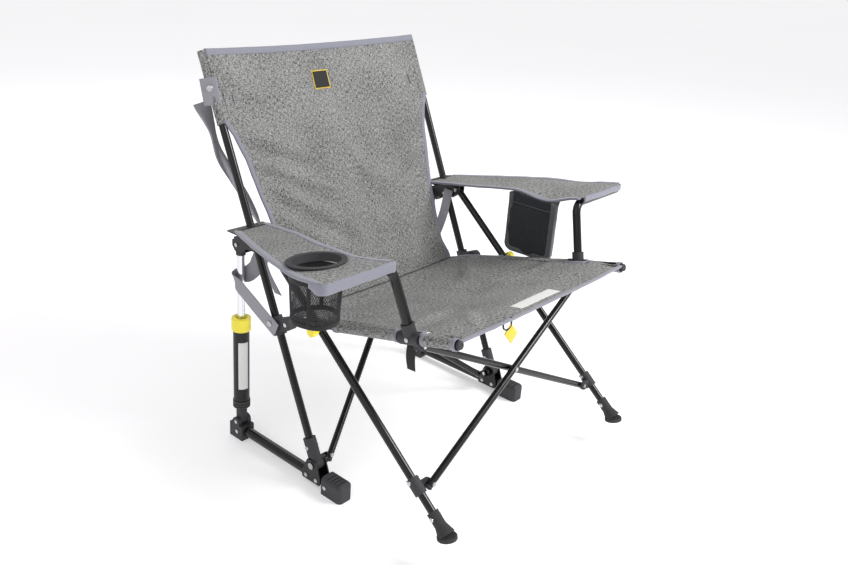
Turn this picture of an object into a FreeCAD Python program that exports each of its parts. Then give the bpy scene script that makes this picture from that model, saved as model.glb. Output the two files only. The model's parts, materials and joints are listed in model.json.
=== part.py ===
import FreeCAD, Part
import math
import os
from FreeCAD import Placement, Rotation, Vector

# Folding camp rocking chair, standing on its two base tubes with nobody in it.
# Millimetres, +Z up, the occupant looks along -Y, the occupant's right is -X.
# The origin is on the floor under the middle of the chair.
# "side" is -1 for the occupant's right and +1 for the left.

SIZES = [
    # whole frame
    ("leg_half_spacing", 294.0, "centre plane of a rear leg from the middle"),
    ("leg_rake", 24.3, "lean of the rear leg from upright, degrees"),
    ("back_top_height", 812.0, "top of the rear leg tubes above the floor"),
    ("pivot_setback", 4.2, "base pivot behind the origin"),
    ("pivot_height", 48.0, "base pivot above the floor"),
    ("leg_tube", 16.0, "rear and front leg, seat rail: outside diameter"),
    ("tube_wall", 1.5, "wall of every frame tube"),
    ("fit_gap", 0.2, "play between a tube and the moulding on it"),
    ("pin_play", 0.05, "radial play of a running pin"),
    # base
    ("base_tube", 22.0, "base tube diameter"),
    ("base_axis_height", 19.0, "base tube axis above the floor"),
    ("base_front_reach", 88.0, "front of the base foot ahead of the pivot"),
    ("strut_setback", 243.0, "lower strut pin behind the base pivot"),
    ("strut_pin_height", 40.0, "lower strut pin above the floor"),
    ("plate_gauge", 2.5, "steel of the gussets and cheeks"),
    ("pivot_pin", 8.0, "diameter of the base, strut and hub pins"),
    ("socket_diameter", 26.0, "moulded socket on the foot of a rear leg"),
    ("socket_length", 56.0, "socket above the base pivot"),
    ("foot_width", 36.0, "base foot across the chair"),
    ("foot_height", 40.0, "base foot height"),
    ("foot_length", 54.0, "base foot along the tube"),
    # strut
    ("strut_top_setback", 237.0, "upper strut pin behind the base pivot"),
    ("strut_top_height", 454.0, "upper strut pin above the floor"),
    ("cylinder_diameter", 34.0, "strut cylinder outside"),
    ("cylinder_start", 53.0, "cylinder above the lower pin"),
    ("cylinder_length", 168.0, "cylinder length"),
    ("cap_diameter", 41.0, "collar on top of the cylinder"),
    ("cap_height", 30.0, "collar height"),
    ("rod_diameter", 16.0, "polished rod"),
    ("open_pivot_play", 1.6, "radial play of the upper strut eye"),
    ("spring_wire", 3.2, "strut spring wire"),
    # front legs and side rails
    ("front_leg_lean", 50.3, "lean of the front leg from upright, degrees"),
    ("front_leg_top", 483.0, "front leg pivot above the floor"),
    ("front_leg_reach", 155.0, "front leg pivot behind the base pivot"),
    ("front_foot_height", 62.0, "underside of a front foot above the floor"),
    ("boot_diameter", 23.0, "rubber boot on the front leg"),
    ("boot_length", 46.0, "boot sleeve"),
    ("sole_tilt", 11.8, "tilt of the front sole, degrees"),
    ("rail_half_spacing", 273.0, "seat rail from the middle"),
    ("rail_rear_setback", 88.0, "rear rivet of the rail behind the base pivot"),
    ("rail_rear_height", 330.0, "rear rivet of the rail above the floor"),
    ("rail_front_reach", 318.0, "front end of the rail ahead of the base pivot"),
    ("rail_front_height", 432.0, "front end of the rail above the floor"),
    ("bracket_reach", 212.0, "rail bracket ahead of the base pivot"),
    ("collar_length", 38.0, "rail collar along the rear leg"),
    ("knob_diameter", 21.0, "pivot knob of rail and front leg"),
    # cross tubes
    ("cross_tube", 14.0, "cross tube diameter"),
    ("front_cross_low_height", 130.0, "front cross, lower rivet above the floor"),
    ("front_cross_low_half", 266.0, "front cross, lower rivet from the middle"),
    ("front_cross_high_half", 256.0, "front cross, upper rivet from the middle"),
    ("front_cross_drop", 20.0, "front cross, upper rivet under the rail axis"),
    ("rear_cross_low_half", 259.0, "rear cross, lower rivet from the middle"),
    ("rear_cross_high_half", 262.0, "rear cross, upper rivet from the middle"),
    ("rear_cross_high_setback", 250.0, "rear cross, upper rivet behind the pivot"),
    ("rear_cross_high_height", 452.0, "rear cross, upper rivet above the floor"),
    ("rivet_diameter", 5.0, "rivet shank"),
    ("rivet_head", 9.0, "rivet head"),
    # arms
    ("post_tube", 18.0, "arm post diameter"),
    ("post_height", 127.0, "arm post above the rail bracket"),
    ("post_bend", 26.0, "bend radius of the arm post"),
    ("post_lean", 38.0, "top of the arm post behind its foot"),
    ("post_splay", 20.0, "top of the arm post outside its foot"),
    ("arm_outer_half", 462.0, "outer edge of the armrest from the middle"),
    ("arm_inner_half", 305.0, "inner edge of the armrest in front, from the middle"),
    ("arm_rear_height", 498.0, "armrest surface at its rear"),
    ("arm_slope", 7.35, "rise of the armrest to the front, degrees"),
    ("fabric", 3.0, "thickness of the cloth panels"),
    ("cup_ring", 106.0, "cup ring outside diameter"),
    ("cup_hole", 86.0, "cup ring inside diameter"),
    ("cup_depth", 102.0, "mesh cup depth"),
    ("pocket_length", 126.0, "phone pocket along the arm"),
    ("pocket_depth", 138.0, "phone pocket height"),
    ("pocket_gap", 9.0, "inside of the phone pocket"),
    # cloth
    ("sleeve_wall", 2.4, "cloth sleeve around a tube"),
    ("back_sleeve", 128.0, "height of the back's sleeves"),
    ("back_waist_half", 244.0, "back at its narrowest from the middle"),
    ("back_sag", 24.0, "back behind its tubes in the middle"),
    ("seam_height", 312.0, "seam of back and seat above the floor"),
    ("seat_sag", 30.0, "seat below its rails in the middle"),
    ("webbing_width", 32.0, "carry strap"),
    ("webbing", 2.0, "strap thickness"),
]

doc = FreeCAD.newDocument("camp_rocking_chair")
sheet = doc.addObject("Spreadsheet::Sheet", "Sizes")
for row, (alias, value, note) in enumerate(SIZES, start=1):
    sheet.set("A%d" % row, note)
    sheet.set("B%d" % row, str(value))
    sheet.setAlias("B%d" % row, alias)
doc.recompute()

S = {alias: float(sheet.get(alias)) for alias, _, _ in SIZES}
SUB_PARTS = []
GROUPS = {}
X_AXIS, Y_AXIS, Z_AXIS = Vector(1, 0, 0), Vector(0, 1, 0), Vector(0, 0, 1)
EPS = 1.0


# ---------------------------------------------------------------- layout


def at(x, y, z):
    """A point given behind the base pivot (y) and above the floor (z)."""
    return Vector(x, y + S["pivot_setback"], z)


def leg_point(side, height):
    """Centre of the rear leg at a height."""
    setback = math.tan(math.radians(S["leg_rake"])) * (height - S["pivot_height"])
    return at(side * S["leg_half_spacing"], setback, height)


def front_leg_point(side, height):
    """Centre of the front leg at a height."""
    drop = S["front_leg_top"] - height
    setback = S["front_leg_reach"] - math.tan(math.radians(S["front_leg_lean"])) * drop
    return at(side * S["leg_half_spacing"], setback, height)


def rail_point(side, setback):
    """Centre of the seat rail at a distance behind the base pivot."""
    run = S["rail_rear_setback"] + S["rail_front_reach"]
    rise = S["rail_front_height"] - S["rail_rear_height"]
    height = S["rail_rear_height"] + rise * (S["rail_rear_setback"] - setback) / run
    return at(side * S["rail_half_spacing"], setback, height)


def arm_height(setback):
    """Top of the armrest cloth at a distance behind the base pivot."""
    rear = 210.0
    return S["arm_rear_height"] + math.tan(math.radians(S["arm_slope"])) * (rear - setback)


def across(side, point, half):
    """The same place in the side view at another distance from the middle."""
    return Vector(side * half, point.y, point.z)


def crossing(first_from, first_to, second_from, second_to):
    """Where two lines of the side view meet."""
    a = first_to - first_from
    b = second_to - second_from
    gap = second_from - first_from
    cross = a.y * b.z - a.z * b.y
    share = (gap.y * b.z - gap.z * b.y) / cross
    return first_from + a * share


def along(start, end):
    """Placement whose Z axis runs from start to end."""
    return Placement(start, Rotation(Z_AXIS, end - start))


LEG_UP = (leg_point(1, 800.0) - leg_point(1, 100.0)).normalize()
FRONT_DOWN = (front_leg_point(1, 100.0) - front_leg_point(1, 400.0)).normalize()
RAIL_FRONT = (rail_point(1, -200.0) - rail_point(1, 0.0)).normalize()


# ---------------------------------------------------------------- tools


def name_part(obj, label, group=None):
    """Register a finished sub-part under the name of its file, or as one of a group."""
    obj.Label = label
    if group:
        GROUPS.setdefault(group, []).append(obj)
    else:
        SUB_PARTS.append(obj)
    return obj


def build_groups():
    """Pieces that share a node, each still a solid of its own."""
    for label, members in GROUPS.items():
        group = doc.addObject("Part::Compound", label)
        group.Links = members
        name_part(group, label)


def cylinder(name, start, end, radius):
    """A Part cylinder whose radius is an expression on the sheet."""
    obj = doc.addObject("Part::Cylinder", name)
    obj.setExpression("Radius", radius)
    obj.Height = (end - start).Length
    obj.Placement = along(start, end)
    return obj


def cut(name, base, *tools):
    """Cut every tool from the base, one after the other."""
    for count, tool in enumerate(tools, start=1):
        obj = doc.addObject("Part::Cut", "%s_cut_%d" % (name, count))
        obj.Base, obj.Tool = base, tool
        base = obj
    return base


def fuse(name, *pieces):
    """Join pieces into one solid."""
    obj = doc.addObject("Part::MultiFuse", name)
    obj.Shapes = list(pieces)
    obj.Refine = True
    return obj


def drill(name, centre, axis, length, diameter):
    """A drill through centre along axis, to be cut from something."""
    half = axis.normalize() * (length / 2.0)
    return cylinder(name, centre - half, centre + half, "%s / 2" % diameter)


def rivet_holes(name, places, length):
    """One drill per rivet place, each a (centre, axis) pair."""
    tools = []
    for count, (centre, axis) in enumerate(places, start=1):
        tools.append(drill("%s_hole_%d" % (name, count), centre, Vector(axis), length,
                           "(Sizes.rivet_diameter + 2 * Sizes.pin_play)"))
    return tools


def tube(label, start, end, diameter, holes=()):
    """A straight frame tube with its rivet holes."""
    direction = (end - start).normalize()
    outside = cylinder(label + "_outside", start, end, "Sizes.%s / 2" % diameter)
    bore = cylinder(label + "_bore", start - direction * EPS, end + direction * EPS,
                    "Sizes.%s / 2 - Sizes.tube_wall" % diameter)
    drills = rivet_holes(label, holes, 3 * S["leg_tube"])
    return name_part(cut(label, outside, bore, *drills), label)


def box(name, origin, size, placement=None):
    """A Part box by its low corner and size, optionally in a placement."""
    obj = doc.addObject("Part::Box", name)
    obj.Length, obj.Width, obj.Height = size
    local = Placement(Vector(*origin), Rotation())
    obj.Placement = placement.multiply(local) if placement else local
    return obj


def plane_of(body, role):
    """One of a body's own origin planes."""
    return next(f for f in body.Origin.OriginFeatures if f.Role == role)


def outline(sketch, points):
    """Closed polygon of a sketch."""
    for count, (u, v) in enumerate(points):
        nxt = points[(count + 1) % len(points)]
        sketch.addGeometry(Part.LineSegment(Vector(u, v, 0), Vector(nxt[0], nxt[1], 0)), False)


def plate(label, points, thickness, x_low, holes=(), corner=5.0):
    """A flat plate of the side view, padded across the chair as a PartDesign body.

    points and holes are (setback, height) pairs; holes add a diameter expression.
    """
    body = doc.addObject("PartDesign::Body", label + "_body")
    profile = body.newObject("Sketcher::SketchObject", label + "_profile")
    profile.AttachmentSupport = [(plane_of(body, "YZ_Plane"), "")]
    profile.MapMode = "FlatFace"
    outline(profile, points)
    pad = body.newObject("PartDesign::Pad", label + "_pad")
    pad.Profile = profile
    pad.setExpression("Length", thickness)
    doc.recompute()
    uprights = [name for name, edge in edge_names(pad.Shape) if runs_along(edge, X_AXIS)]
    rounded = body.newObject("PartDesign::Fillet", label + "_corners")
    rounded.Base = (pad, uprights)
    rounded.Radius = corner
    doc.recompute()
    if holes:
        ring = body.newObject("Sketcher::SketchObject", label + "_holes")
        ring.AttachmentSupport = [(plane_of(body, "YZ_Plane"), "")]
        ring.MapMode = "FlatFace"
        for count, (y, z, diameter) in enumerate(holes):
            ring.addGeometry(Part.Circle(Vector(y, z, 0), Z_AXIS, diameter / 2.0), False)
        pocket = body.newObject("PartDesign::Pocket", label + "_bores")
        pocket.Profile = ring
        pocket.Type = "ThroughAll"
        pocket.Midplane = True
        doc.recompute()
    body.Placement = Placement(Vector(x_low, S["pivot_setback"], 0), Rotation())
    return body


def edge_names(shape):
    """Edges of a shape with their sub-element names."""
    return [("Edge%d" % (i + 1), edge) for i, edge in enumerate(shape.Edges)]


def runs_along(edge, axis):
    """True for a straight edge along an axis."""
    if len(edge.Vertexes) != 2:
        return False
    run = edge.Vertexes[1].Point - edge.Vertexes[0].Point
    return run.Length > 0 and run.cross(axis).Length < 1e-6 * run.Length


def feature(label, shape, placement=None, group=None):
    """A Part::Feature for a shape that no primitive makes."""
    obj = doc.addObject("Part::Feature", label)
    obj.Shape = shape
    if placement:
        obj.Placement = placement
    return name_part(obj, label, group)


def rivet_shape(centre, axis, grip):
    """A rivet through a grip, with a domed head at both ends."""
    axis = Vector(axis).normalize()
    radius = S["rivet_diameter"] / 2.0
    head = S["rivet_head"] / 2.0
    shank = Part.makeCylinder(radius, grip, centre - axis * (grip / 2), axis)
    shape = shank
    for sign in (-1, 1):
        seat = centre + axis * (sign * grip / 2)
        disc = Part.makeCylinder(head, 1.2, seat, axis * sign)
        dome = Part.makeCone(head, head * 0.6, 0.9, seat + axis * (sign * 1.2), axis * sign)
        shape = shape.fuse(disc).fuse(dome)
    return shape.removeSplitter()


def rivet_group(label, rivets):
    """Identical rivets of one body in one node, each its own solid."""
    for count, (centre, axis, grip) in enumerate(rivets, start=1):
        feature("%s_%d" % (label, count), rivet_shape(centre, axis, grip), group=label)


def polyline_tube(points, radius, bend):
    """Solid rod along straight runs joined by arcs of one bend radius."""
    edges = []
    last = points[0]
    for before, corner, after in zip(points, points[1:], points[2:]):
        to_corner = (corner - before).normalize()
        from_corner = (after - corner).normalize()
        turn = to_corner.getAngle(from_corner)
        reach = bend * math.tan(turn / 2)
        enter = corner - to_corner * reach
        leave = corner + from_corner * reach
        inward = (from_corner - to_corner).normalize()
        middle = corner + inward * (bend / math.cos(turn / 2) - bend)
        edges.append(Part.LineSegment(last, enter).toShape())
        edges.append(Part.Arc(enter, middle, leave).toShape())
        last = leave
    edges.append(Part.LineSegment(last, points[-1]).toShape())
    path = Part.Wire(edges)
    ring = Part.Wire([Part.makeCircle(radius, points[0], points[1] - points[0])])
    return path.makePipeShell([ring], True, False)


# ---------------------------------------------------------------- key places


def pivot(side):
    """Rock axis: rear leg on its base."""
    return at(side * S["leg_half_spacing"], 0, S["pivot_height"])


def strut_low(side):
    """Lower strut pin."""
    return at(side * S["leg_half_spacing"], S["strut_setback"], S["strut_pin_height"])


def strut_high(side):
    """Upper strut pin."""
    return at(side * S["leg_half_spacing"], S["strut_top_setback"], S["strut_top_height"])


def knob_place(side):
    """Where the front leg crosses the seat rail, on the front leg's centre."""
    meet = crossing(front_leg_point(side, 300.0), front_leg_point(side, 400.0),
                    rail_point(side, 0.0), rail_point(side, -100.0))
    return across(side, meet, S["leg_half_spacing"])


def rail_rear(side):
    """Rear rivet of the seat rail."""
    return rail_point(side, S["rail_rear_setback"])


def hub_leg_rivet(side):
    """Rivet that holds the arm hub to the rear leg."""
    return leg_point(side, S["strut_top_height"] + 12.0)


CROSS_TOP_SETBACK = -(S["bracket_reach"] + 12.0)


def front_cross_ends(side):
    """Front cross tube that starts low on this side: lower and upper rivet."""
    low = front_leg_point(side, S["front_cross_low_height"])
    high = rail_point(-side, CROSS_TOP_SETBACK)
    high = high - Vector(0, 0, S["front_cross_drop"])
    return (across(side, low, S["front_cross_low_half"]),
            across(-side, high, S["front_cross_high_half"]))


def rear_cross_ends(side):
    """Rear cross tube that starts low on this side: lower and upper rivet."""
    low = at(side * S["rear_cross_low_half"], 4.0, S["pivot_height"])
    high = at(-side * S["rear_cross_high_half"], S["rear_cross_high_setback"],
              S["rear_cross_high_height"])
    return low, high


def cross_normal(ends):
    """Unit normal of a cross's plane, pointing to the rear."""
    low, high = ends
    rise = Vector(0, high.y - low.y, high.z - low.z).normalize()
    return Vector(0, rise.z, -rise.y)


def cross_middle(ends):
    """Where a pair of cross tubes meets, on the middle plane."""
    low, high = ends
    return low + (high - low) * (low.x / (low.x - high.x))


# ---------------------------------------------------------------- base


def build_base(side, hand):
    """Ground tube with its foot, rear hub and gusset plates."""
    half = S["leg_half_spacing"]
    x = side * half
    axis_z = S["base_axis_height"]
    front = at(x, -S["base_front_reach"] + 14.0, axis_z)
    rear = at(x, S["strut_setback"] + 12.0, axis_z)
    rivets = [(at(x, 16.0, axis_z), X_AXIS), (at(x, -14.0, axis_z), X_AXIS),
              (at(x, S["strut_setback"] - 4.0, axis_z - 1.0), X_AXIS),
              (at(x, -44.0, axis_z), X_AXIS)]
    tube(hand + "_base_tube", front, rear, "base_tube", rivets)

    # rubber foot: a ribbed block with a rounded nose over the tube's front end
    width, height, length = S["foot_width"], S["foot_height"], S["foot_length"]
    low_y = -S["base_front_reach"] + S["pivot_setback"]
    block = box(hand + "_foot_block", (x - width / 2, low_y, 0), (width, length, height))
    block.setExpression("Length", "Sizes.foot_width")
    block.setExpression("Height", "Sizes.foot_height")
    doc.recompute()
    nose = doc.addObject("Part::Fillet", hand + "_foot_nose")
    nose.Base = block
    nose.Edges = [(i + 1, 9.0, 9.0) for i, e in enumerate(block.Shape.Edges)
                  if e.BoundBox.YMax < low_y + 1e-3 and e.BoundBox.ZMax > 1e-3
                  or (runs_along(e, Y_AXIS) and e.BoundBox.ZMin > height - 1e-3)]
    bore = cylinder(hand + "_foot_bore", front, rear,
                    "Sizes.base_tube / 2 + Sizes.fit_gap / 2")
    ribs = [box("%s_foot_rib_%d" % (hand, n), (x - width / 2 - EPS, low_y + 10.0 + 9.0 * n, height - 2.5),
                (width + 2 * EPS, 3.5, 5.0)) for n in range(4)]
    holes = rivet_holes(hand + "_foot", [rivets[3]], width + 10)
    name_part(cut(hand + "_base_foot", nose, bore, *ribs, *holes), hand + "_base_foot")

    # rear hub: a block over the tube's rear end, with two ears for the strut
    hub_y = S["strut_setback"] - 21.0 + S["pivot_setback"]
    hub_width = 33.0
    core = box(hand + "_hub_core", (x - hub_width / 2, hub_y, 0), (hub_width, 42.0, 34.0))
    ears = cylinder(hand + "_hub_ears", strut_low(side) - X_AXIS * hub_width / 2,
                    strut_low(side) + X_AXIS * hub_width / 2, "11")
    neck = box(hand + "_hub_neck", (x - hub_width / 2, strut_low(side).y - 11.0, 20.0),
               (hub_width, 22.0, 20.0))
    solid = fuse(hand + "_hub_solid", core, ears, neck)
    slot = box(hand + "_hub_slot", (x - 8.4, hub_y - EPS, axis_z + 11.0 + 1.8), (16.8, 44.0, 40.0))
    pin_bore = drill(hand + "_hub_pin_bore", strut_low(side), X_AXIS, 60, "(Sizes.pivot_pin + 0.02)")
    tube_bore = cylinder(hand + "_hub_bore", front, rear,
                         "Sizes.base_tube / 2 + Sizes.fit_gap / 2")
    hub_holes = rivet_holes(hand + "_hub", [rivets[2]], 60)
    name_part(cut(hand + "_base_hub", solid, slot, pin_bore, tube_bore, *hub_holes),
              hand + "_base_hub")

    # gusset plates either side of the tube, carrying the rock pin
    pivot_z = S["pivot_height"]
    points = [(-26, axis_z - 9), (28, axis_z - 9), (28, axis_z + 6), (13, pivot_z + 12),
              (-13, pivot_z + 12), (-26, axis_z + 8)]
    shank = S["rivet_diameter"] + 2 * S["pin_play"]
    holes = [(0, pivot_z, S["pivot_pin"] + 2 * S["pin_play"]), (16, axis_z, shank), (-14, axis_z, shank)]
    gap = S["base_tube"] / 2 + S["fit_gap"]
    for which, low in (("inner", x - side * gap - (S["plate_gauge"] if side > 0 else 0)),
                       ("outer", x + side * gap - (0 if side > 0 else S["plate_gauge"]))):
        label = "%s_base_gusset_%s" % (hand, which)
        name_part(plate(label, points, "Sizes.plate_gauge", low, holes), label,
                  group=hand + "_base_gussets")

    grip = 2 * (gap + S["plate_gauge"])
    rivet_group(hand + "_base_fasteners", [
        (rivets[0][0], X_AXIS, grip), (rivets[1][0], X_AXIS, grip),
        (rivets[2][0], X_AXIS, hub_width), (rivets[3][0], X_AXIS, width)])
    pin = cylinder(hand + "_strut_pin_shank", strut_low(side) - X_AXIS * hub_width / 2,
                   strut_low(side) + X_AXIS * hub_width / 2, "Sizes.pivot_pin / 2")
    name_part(pin, hand + "_strut_pin", group=hand + "_base_fasteners")


# ---------------------------------------------------------------- strut


def build_strut(side, hand):
    """Spring strut: lower eye, cylinder, collar, rod, piston spring and upper eye."""
    low, high = strut_low(side), strut_high(side)
    up = (high - low).normalize()

    def level(distance):
        return low + up * distance

    start = S["cylinder_start"]
    top = start + S["cylinder_length"]
    radius = S["cylinder_diameter"] / 2
    wall = 2.0
    bore = radius - wall
    flats = 15.8
    eye_width = 16.0

    # lower eye with a grooved collar and a plug inside the cylinder
    eye = Part.makeCylinder(eye_width / 2, flats, low - X_AXIS * flats / 2, X_AXIS)
    stem = Part.makeBox(flats, 17.0, 34.0, Vector(-flats / 2, -8.5, 0))
    stem.Placement = along(low, high)
    collar = Part.makeCylinder(radius + 1.5, 16.0, level(start - 16.0), up)
    plug = Part.makeCylinder(bore - 0.1, 10.0, level(start), up)
    lower = eye.fuse([stem, Part.makeCylinder(10.0, 12.0, level(26.0), up), collar, plug])
    for groove in (start - 12.5, start - 7.0):
        ring = Part.makeCylinder(radius + 3, 2.0, level(groove), up)
        ring = ring.cut(Part.makeCylinder(radius, 2.0, level(groove), up))
        lower = lower.cut(ring)
    running = S["pivot_pin"] / 2 + S["pin_play"]
    lower = lower.cut(Part.makeCylinder(running, 40, low - X_AXIS * 20, X_AXIS))
    feature(hand + "_strut_clevis", lower.removeSplitter())

    # cylinder
    shell = cylinder(hand + "_strut_shell", level(start), level(top), "Sizes.cylinder_diameter / 2")
    inside = cylinder(hand + "_strut_inside", level(start - EPS), level(top + EPS),
                      "Sizes.cylinder_diameter / 2 - 2")
    name_part(cut(hand + "_strut_cylinder", shell, inside), hand + "_strut_cylinder")

    # collar that guides the rod, with a spigot in the cylinder
    cap_radius = S["cap_diameter"] / 2
    ring = Part.makeCylinder(cap_radius, S["cap_height"], level(top), up)
    ring = ring.makeFillet(3.0, [e for e in ring.Edges if e.Curve.TypeId == "Part::GeomCircle"])
    spigot = Part.makeCylinder(bore - 0.1, 10.0, level(top - 10.0), up)
    guide = S["rod_diameter"] / 2 + S["pin_play"]
    collar = ring.fuse(spigot).cut(Part.makeCylinder(guide, 80, level(top - 20), up))
    dish = Part.makeCone(guide + 1.0, cap_radius - 7.0, 5.0, level(top + S["cap_height"] - 5.0), up)
    feature(hand + "_strut_cap", collar.cut(dish).removeSplitter())

    # rod with its piston; the piston stops under the spigot when the strut is long
    piston_top = top - 10.5
    piston_height = 10.0
    length = (high - low).Length
    rod = Part.makeCylinder(S["rod_diameter"] / 2, length - 12.0 - piston_top, level(piston_top), up)
    piston = Part.makeCylinder(bore - 0.4, piston_height, level(piston_top - piston_height), up)
    feature(hand + "_strut_rod", rod.fuse(piston).removeSplitter())

    # coil spring between plug and piston
    wire = S["spring_wire"]
    spring_low = start + 10.0 + wire / 2 + 0.1
    spring_high = piston_top - piston_height - wire / 2 - 0.1
    turns = 9.0
    mean = bore - wire / 2 - 1.0
    pitch = (spring_high - spring_low) / turns
    helix = Part.makeHelix(pitch, spring_high - spring_low, mean)
    section = Part.Wire([Part.makeCircle(wire / 2, Vector(mean, 0, 0), Y_AXIS)])
    coil = Part.Wire(helix.Edges).makePipeShell([section], True, True)
    feature(hand + "_strut_spring", coil, along(level(spring_low), high))

    # upper eye, with free play on the hub pin
    rod_end = Part.makeBox(flats, 24.0, 31.0, Vector(-flats / 2, -12.0, -16.0))
    rod_end = rod_end.makeFillet(4.0, [e for e in rod_end.Edges if runs_along(e, X_AXIS)])
    rod_end.Placement = along(high, high + up)
    skirt = Part.makeCylinder(10.0, 7.0, level(length - 23.0), up)
    eye_hole = S["pivot_pin"] / 2 + S["open_pivot_play"]
    rod_end = rod_end.fuse(skirt)
    rod_end = rod_end.cut(Part.makeCylinder(eye_hole, 40, high - X_AXIS * 20, X_AXIS))
    rod_end = rod_end.cut(rod)
    feature(hand + "_rod_end", rod_end.removeSplitter())


# ---------------------------------------------------------------- rear leg


def build_rear_leg(side, hand):
    """Rear leg and back post in one tube, with socket, hub and rail collar."""
    foot = leg_point(side, S["pivot_height"] + 16.0)
    top = leg_point(side, S["back_top_height"])
    socket_rivet = leg_point(side, S["pivot_height"] + 34.0)
    places = [(socket_rivet, X_AXIS), (hub_leg_rivet(side), X_AXIS)]
    tube(hand + "_rear_leg", foot, top, "leg_tube", places)

    # socket: round above, flat-sided where it turns between the gusset plates
    centre = pivot(side)
    radius = S["socket_diameter"] / 2
    flat = S["base_tube"] / 2 - 0.2
    outer = Part.makeCylinder(radius, S["socket_length"], centre, LEG_UP)
    ball = Part.makeCylinder(radius, 2 * radius, centre - X_AXIS * radius, X_AXIS)
    block = Part.makeBox(2 * flat, 90, 34, Vector(-flat, -45, -17))
    block.Placement = Placement(centre, Rotation())
    flats_zone = Part.makeBox(60, 90, 34, Vector(-30, -45, -17))
    flats_zone.Placement = Placement(centre, Rotation())
    body = outer.fuse(ball)
    body = body.cut(flats_zone).fuse(body.common(block))
    bore = Part.makeCylinder(S["leg_tube"] / 2 + S["fit_gap"] / 2, 100, foot, LEG_UP)
    pin_bore = Part.makeCylinder(S["pivot_pin"] / 2 + 0.01, 80, centre - X_AXIS * 40, X_AXIS)
    shank = S["rivet_diameter"] / 2 + S["pin_play"]
    rivet_bore = Part.makeCylinder(shank, 80, socket_rivet - X_AXIS * 40, X_AXIS)
    body = body.cut(bore).cut(pin_bore).cut(rivet_bore)
    feature(hand + "_leg_socket", body.removeSplitter())

    # rock pin: turns with the leg in the gusset plates, its inner end holds the rear cross
    gap = S["base_tube"] / 2 + S["fit_gap"] + S["plate_gauge"]
    inner = across(side, centre, S["rear_cross_low_half"] + 11.0)
    outer_end = across(side, centre, S["leg_half_spacing"] + gap + 3.0)
    pin = Part.makeCylinder(S["pivot_pin"] / 2, (outer_end - inner).Length, inner, outer_end - inner)
    head = Part.makeCylinder(7.0, 2.5, outer_end - X_AXIS * side * 2.5, X_AXIS * side)
    feature(hand + "_rock_pin", pin.fuse(head).removeSplitter(), group="frame_pins")

    # arm hub: pressed channel, two cheeks either side of the leg joined by a web
    cheek_gap = S["leg_tube"] / 2 + S["fit_gap"]
    outline_points = arm_hub_outline()
    low_x = cheek_gap + S["plate_gauge"]
    face = Part.Face(Part.makePolygon([at(0, y, z) for y, z in outline_points]))
    cheeks = [face.extrude(X_AXIS * S["plate_gauge"]) for _ in range(2)]
    cheeks[0].translate(Vector(side * S["leg_half_spacing"] - low_x, 0, 0))
    cheeks[1].translate(Vector(side * S["leg_half_spacing"] + cheek_gap, 0, 0))
    web_y = S["strut_top_setback"] - 26.0
    web = Part.makeBox(2 * low_x, S["plate_gauge"], 22.0,
                       at(side * S["leg_half_spacing"] - low_x, web_y, S["strut_top_height"] - 10.0))
    hub = cheeks[0].fuse([cheeks[1], web])
    leg_way = Part.makeCylinder(S["leg_tube"] / 2 + S["fit_gap"] / 2, 900, foot, LEG_UP)
    hub = hub.cut(leg_way)
    for centre_point, diameter in ((front_leg_point(side, S["front_leg_top"]), "rivet"),
                                   (hub_leg_rivet(side), "rivet"), (strut_high(side), "pin")):
        bore_radius = shank if diameter == "rivet" else S["pivot_pin"] / 2 + 0.01
        hub = hub.cut(Part.makeCylinder(bore_radius, 80, centre_point - X_AXIS * 40, X_AXIS))
    feature(hand + "_arm_hub", hub.removeSplitter())
    hub_pin = cylinder(hand + "_hub_pin_shank", strut_high(side) - X_AXIS * (low_x + 2),
                       strut_high(side) + X_AXIS * (low_x + 2), "Sizes.pivot_pin / 2")
    name_part(hub_pin, hand + "_hub_pin", group="frame_pins")

    build_rail_collar(side, hand)
    grip = 2 * low_x
    socket_grip = 2 * radius
    return [(hub_leg_rivet(side), X_AXIS, grip), (socket_rivet, X_AXIS, socket_grip)]


def arm_hub_outline():
    """Side view of an arm hub cheek: front leg pivot, rear leg, strut pin, rear cross."""
    front_y, front_z = S["front_leg_reach"], S["front_leg_top"]
    pin_y, pin_z = S["strut_top_setback"], S["strut_top_height"]
    return [(front_y - 11, front_z + 8), (front_y - 11, front_z - 6), (front_y + 20, front_z - 28),
            (pin_y - 32, pin_z), (pin_y - 12, pin_z - 14), (pin_y + 6, pin_z - 14),
            (pin_y + 14, pin_z - 4), (pin_y + 14, pin_z + 8), (pin_y + 4, pin_z + 14),
            (pin_y - 26, pin_z + 30),
            (front_y + 30, front_z + 9), (front_y - 11, front_z + 8)]


def build_rail_collar(side, hand):
    """Moulded collar that slides on the rear leg and carries the rear of the seat rail."""
    rear = across(side, rail_rear(side), S["leg_half_spacing"])
    foot = leg_point(side, S["pivot_height"])
    distance = (rear - foot).dot(LEG_UP)
    centre = foot + LEG_UP * distance
    half = S["collar_length"] / 2
    sleeve = Part.makeCylinder(13.0, 2 * half, centre - LEG_UP * half, LEG_UP)
    reach = (centre - rear).Length
    arm = Part.makeBox(20.0, reach, 26.0, Vector(-10.0, -reach, -13.0))
    arm.Placement = Placement(centre, Rotation(Z_AXIS, LEG_UP))
    nose = Part.makeCylinder(13.0, 20.0, rear - X_AXIS * 10, X_AXIS)
    collar = sleeve.fuse([arm, nose])
    collar = collar.cut(Part.makeCylinder(S["leg_tube"] / 2 + S["fit_gap"] / 2, 200,
                                          centre - LEG_UP * 100, LEG_UP))
    shank = S["rivet_diameter"] / 2 + S["pin_play"]
    collar = collar.cut(Part.makeCylinder(shank, 60, rear - X_AXIS * 30, X_AXIS))
    feature(hand + "_rail_collar", collar.removeSplitter(), group="rail_collars")


# ---------------------------------------------------------------- front leg


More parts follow.
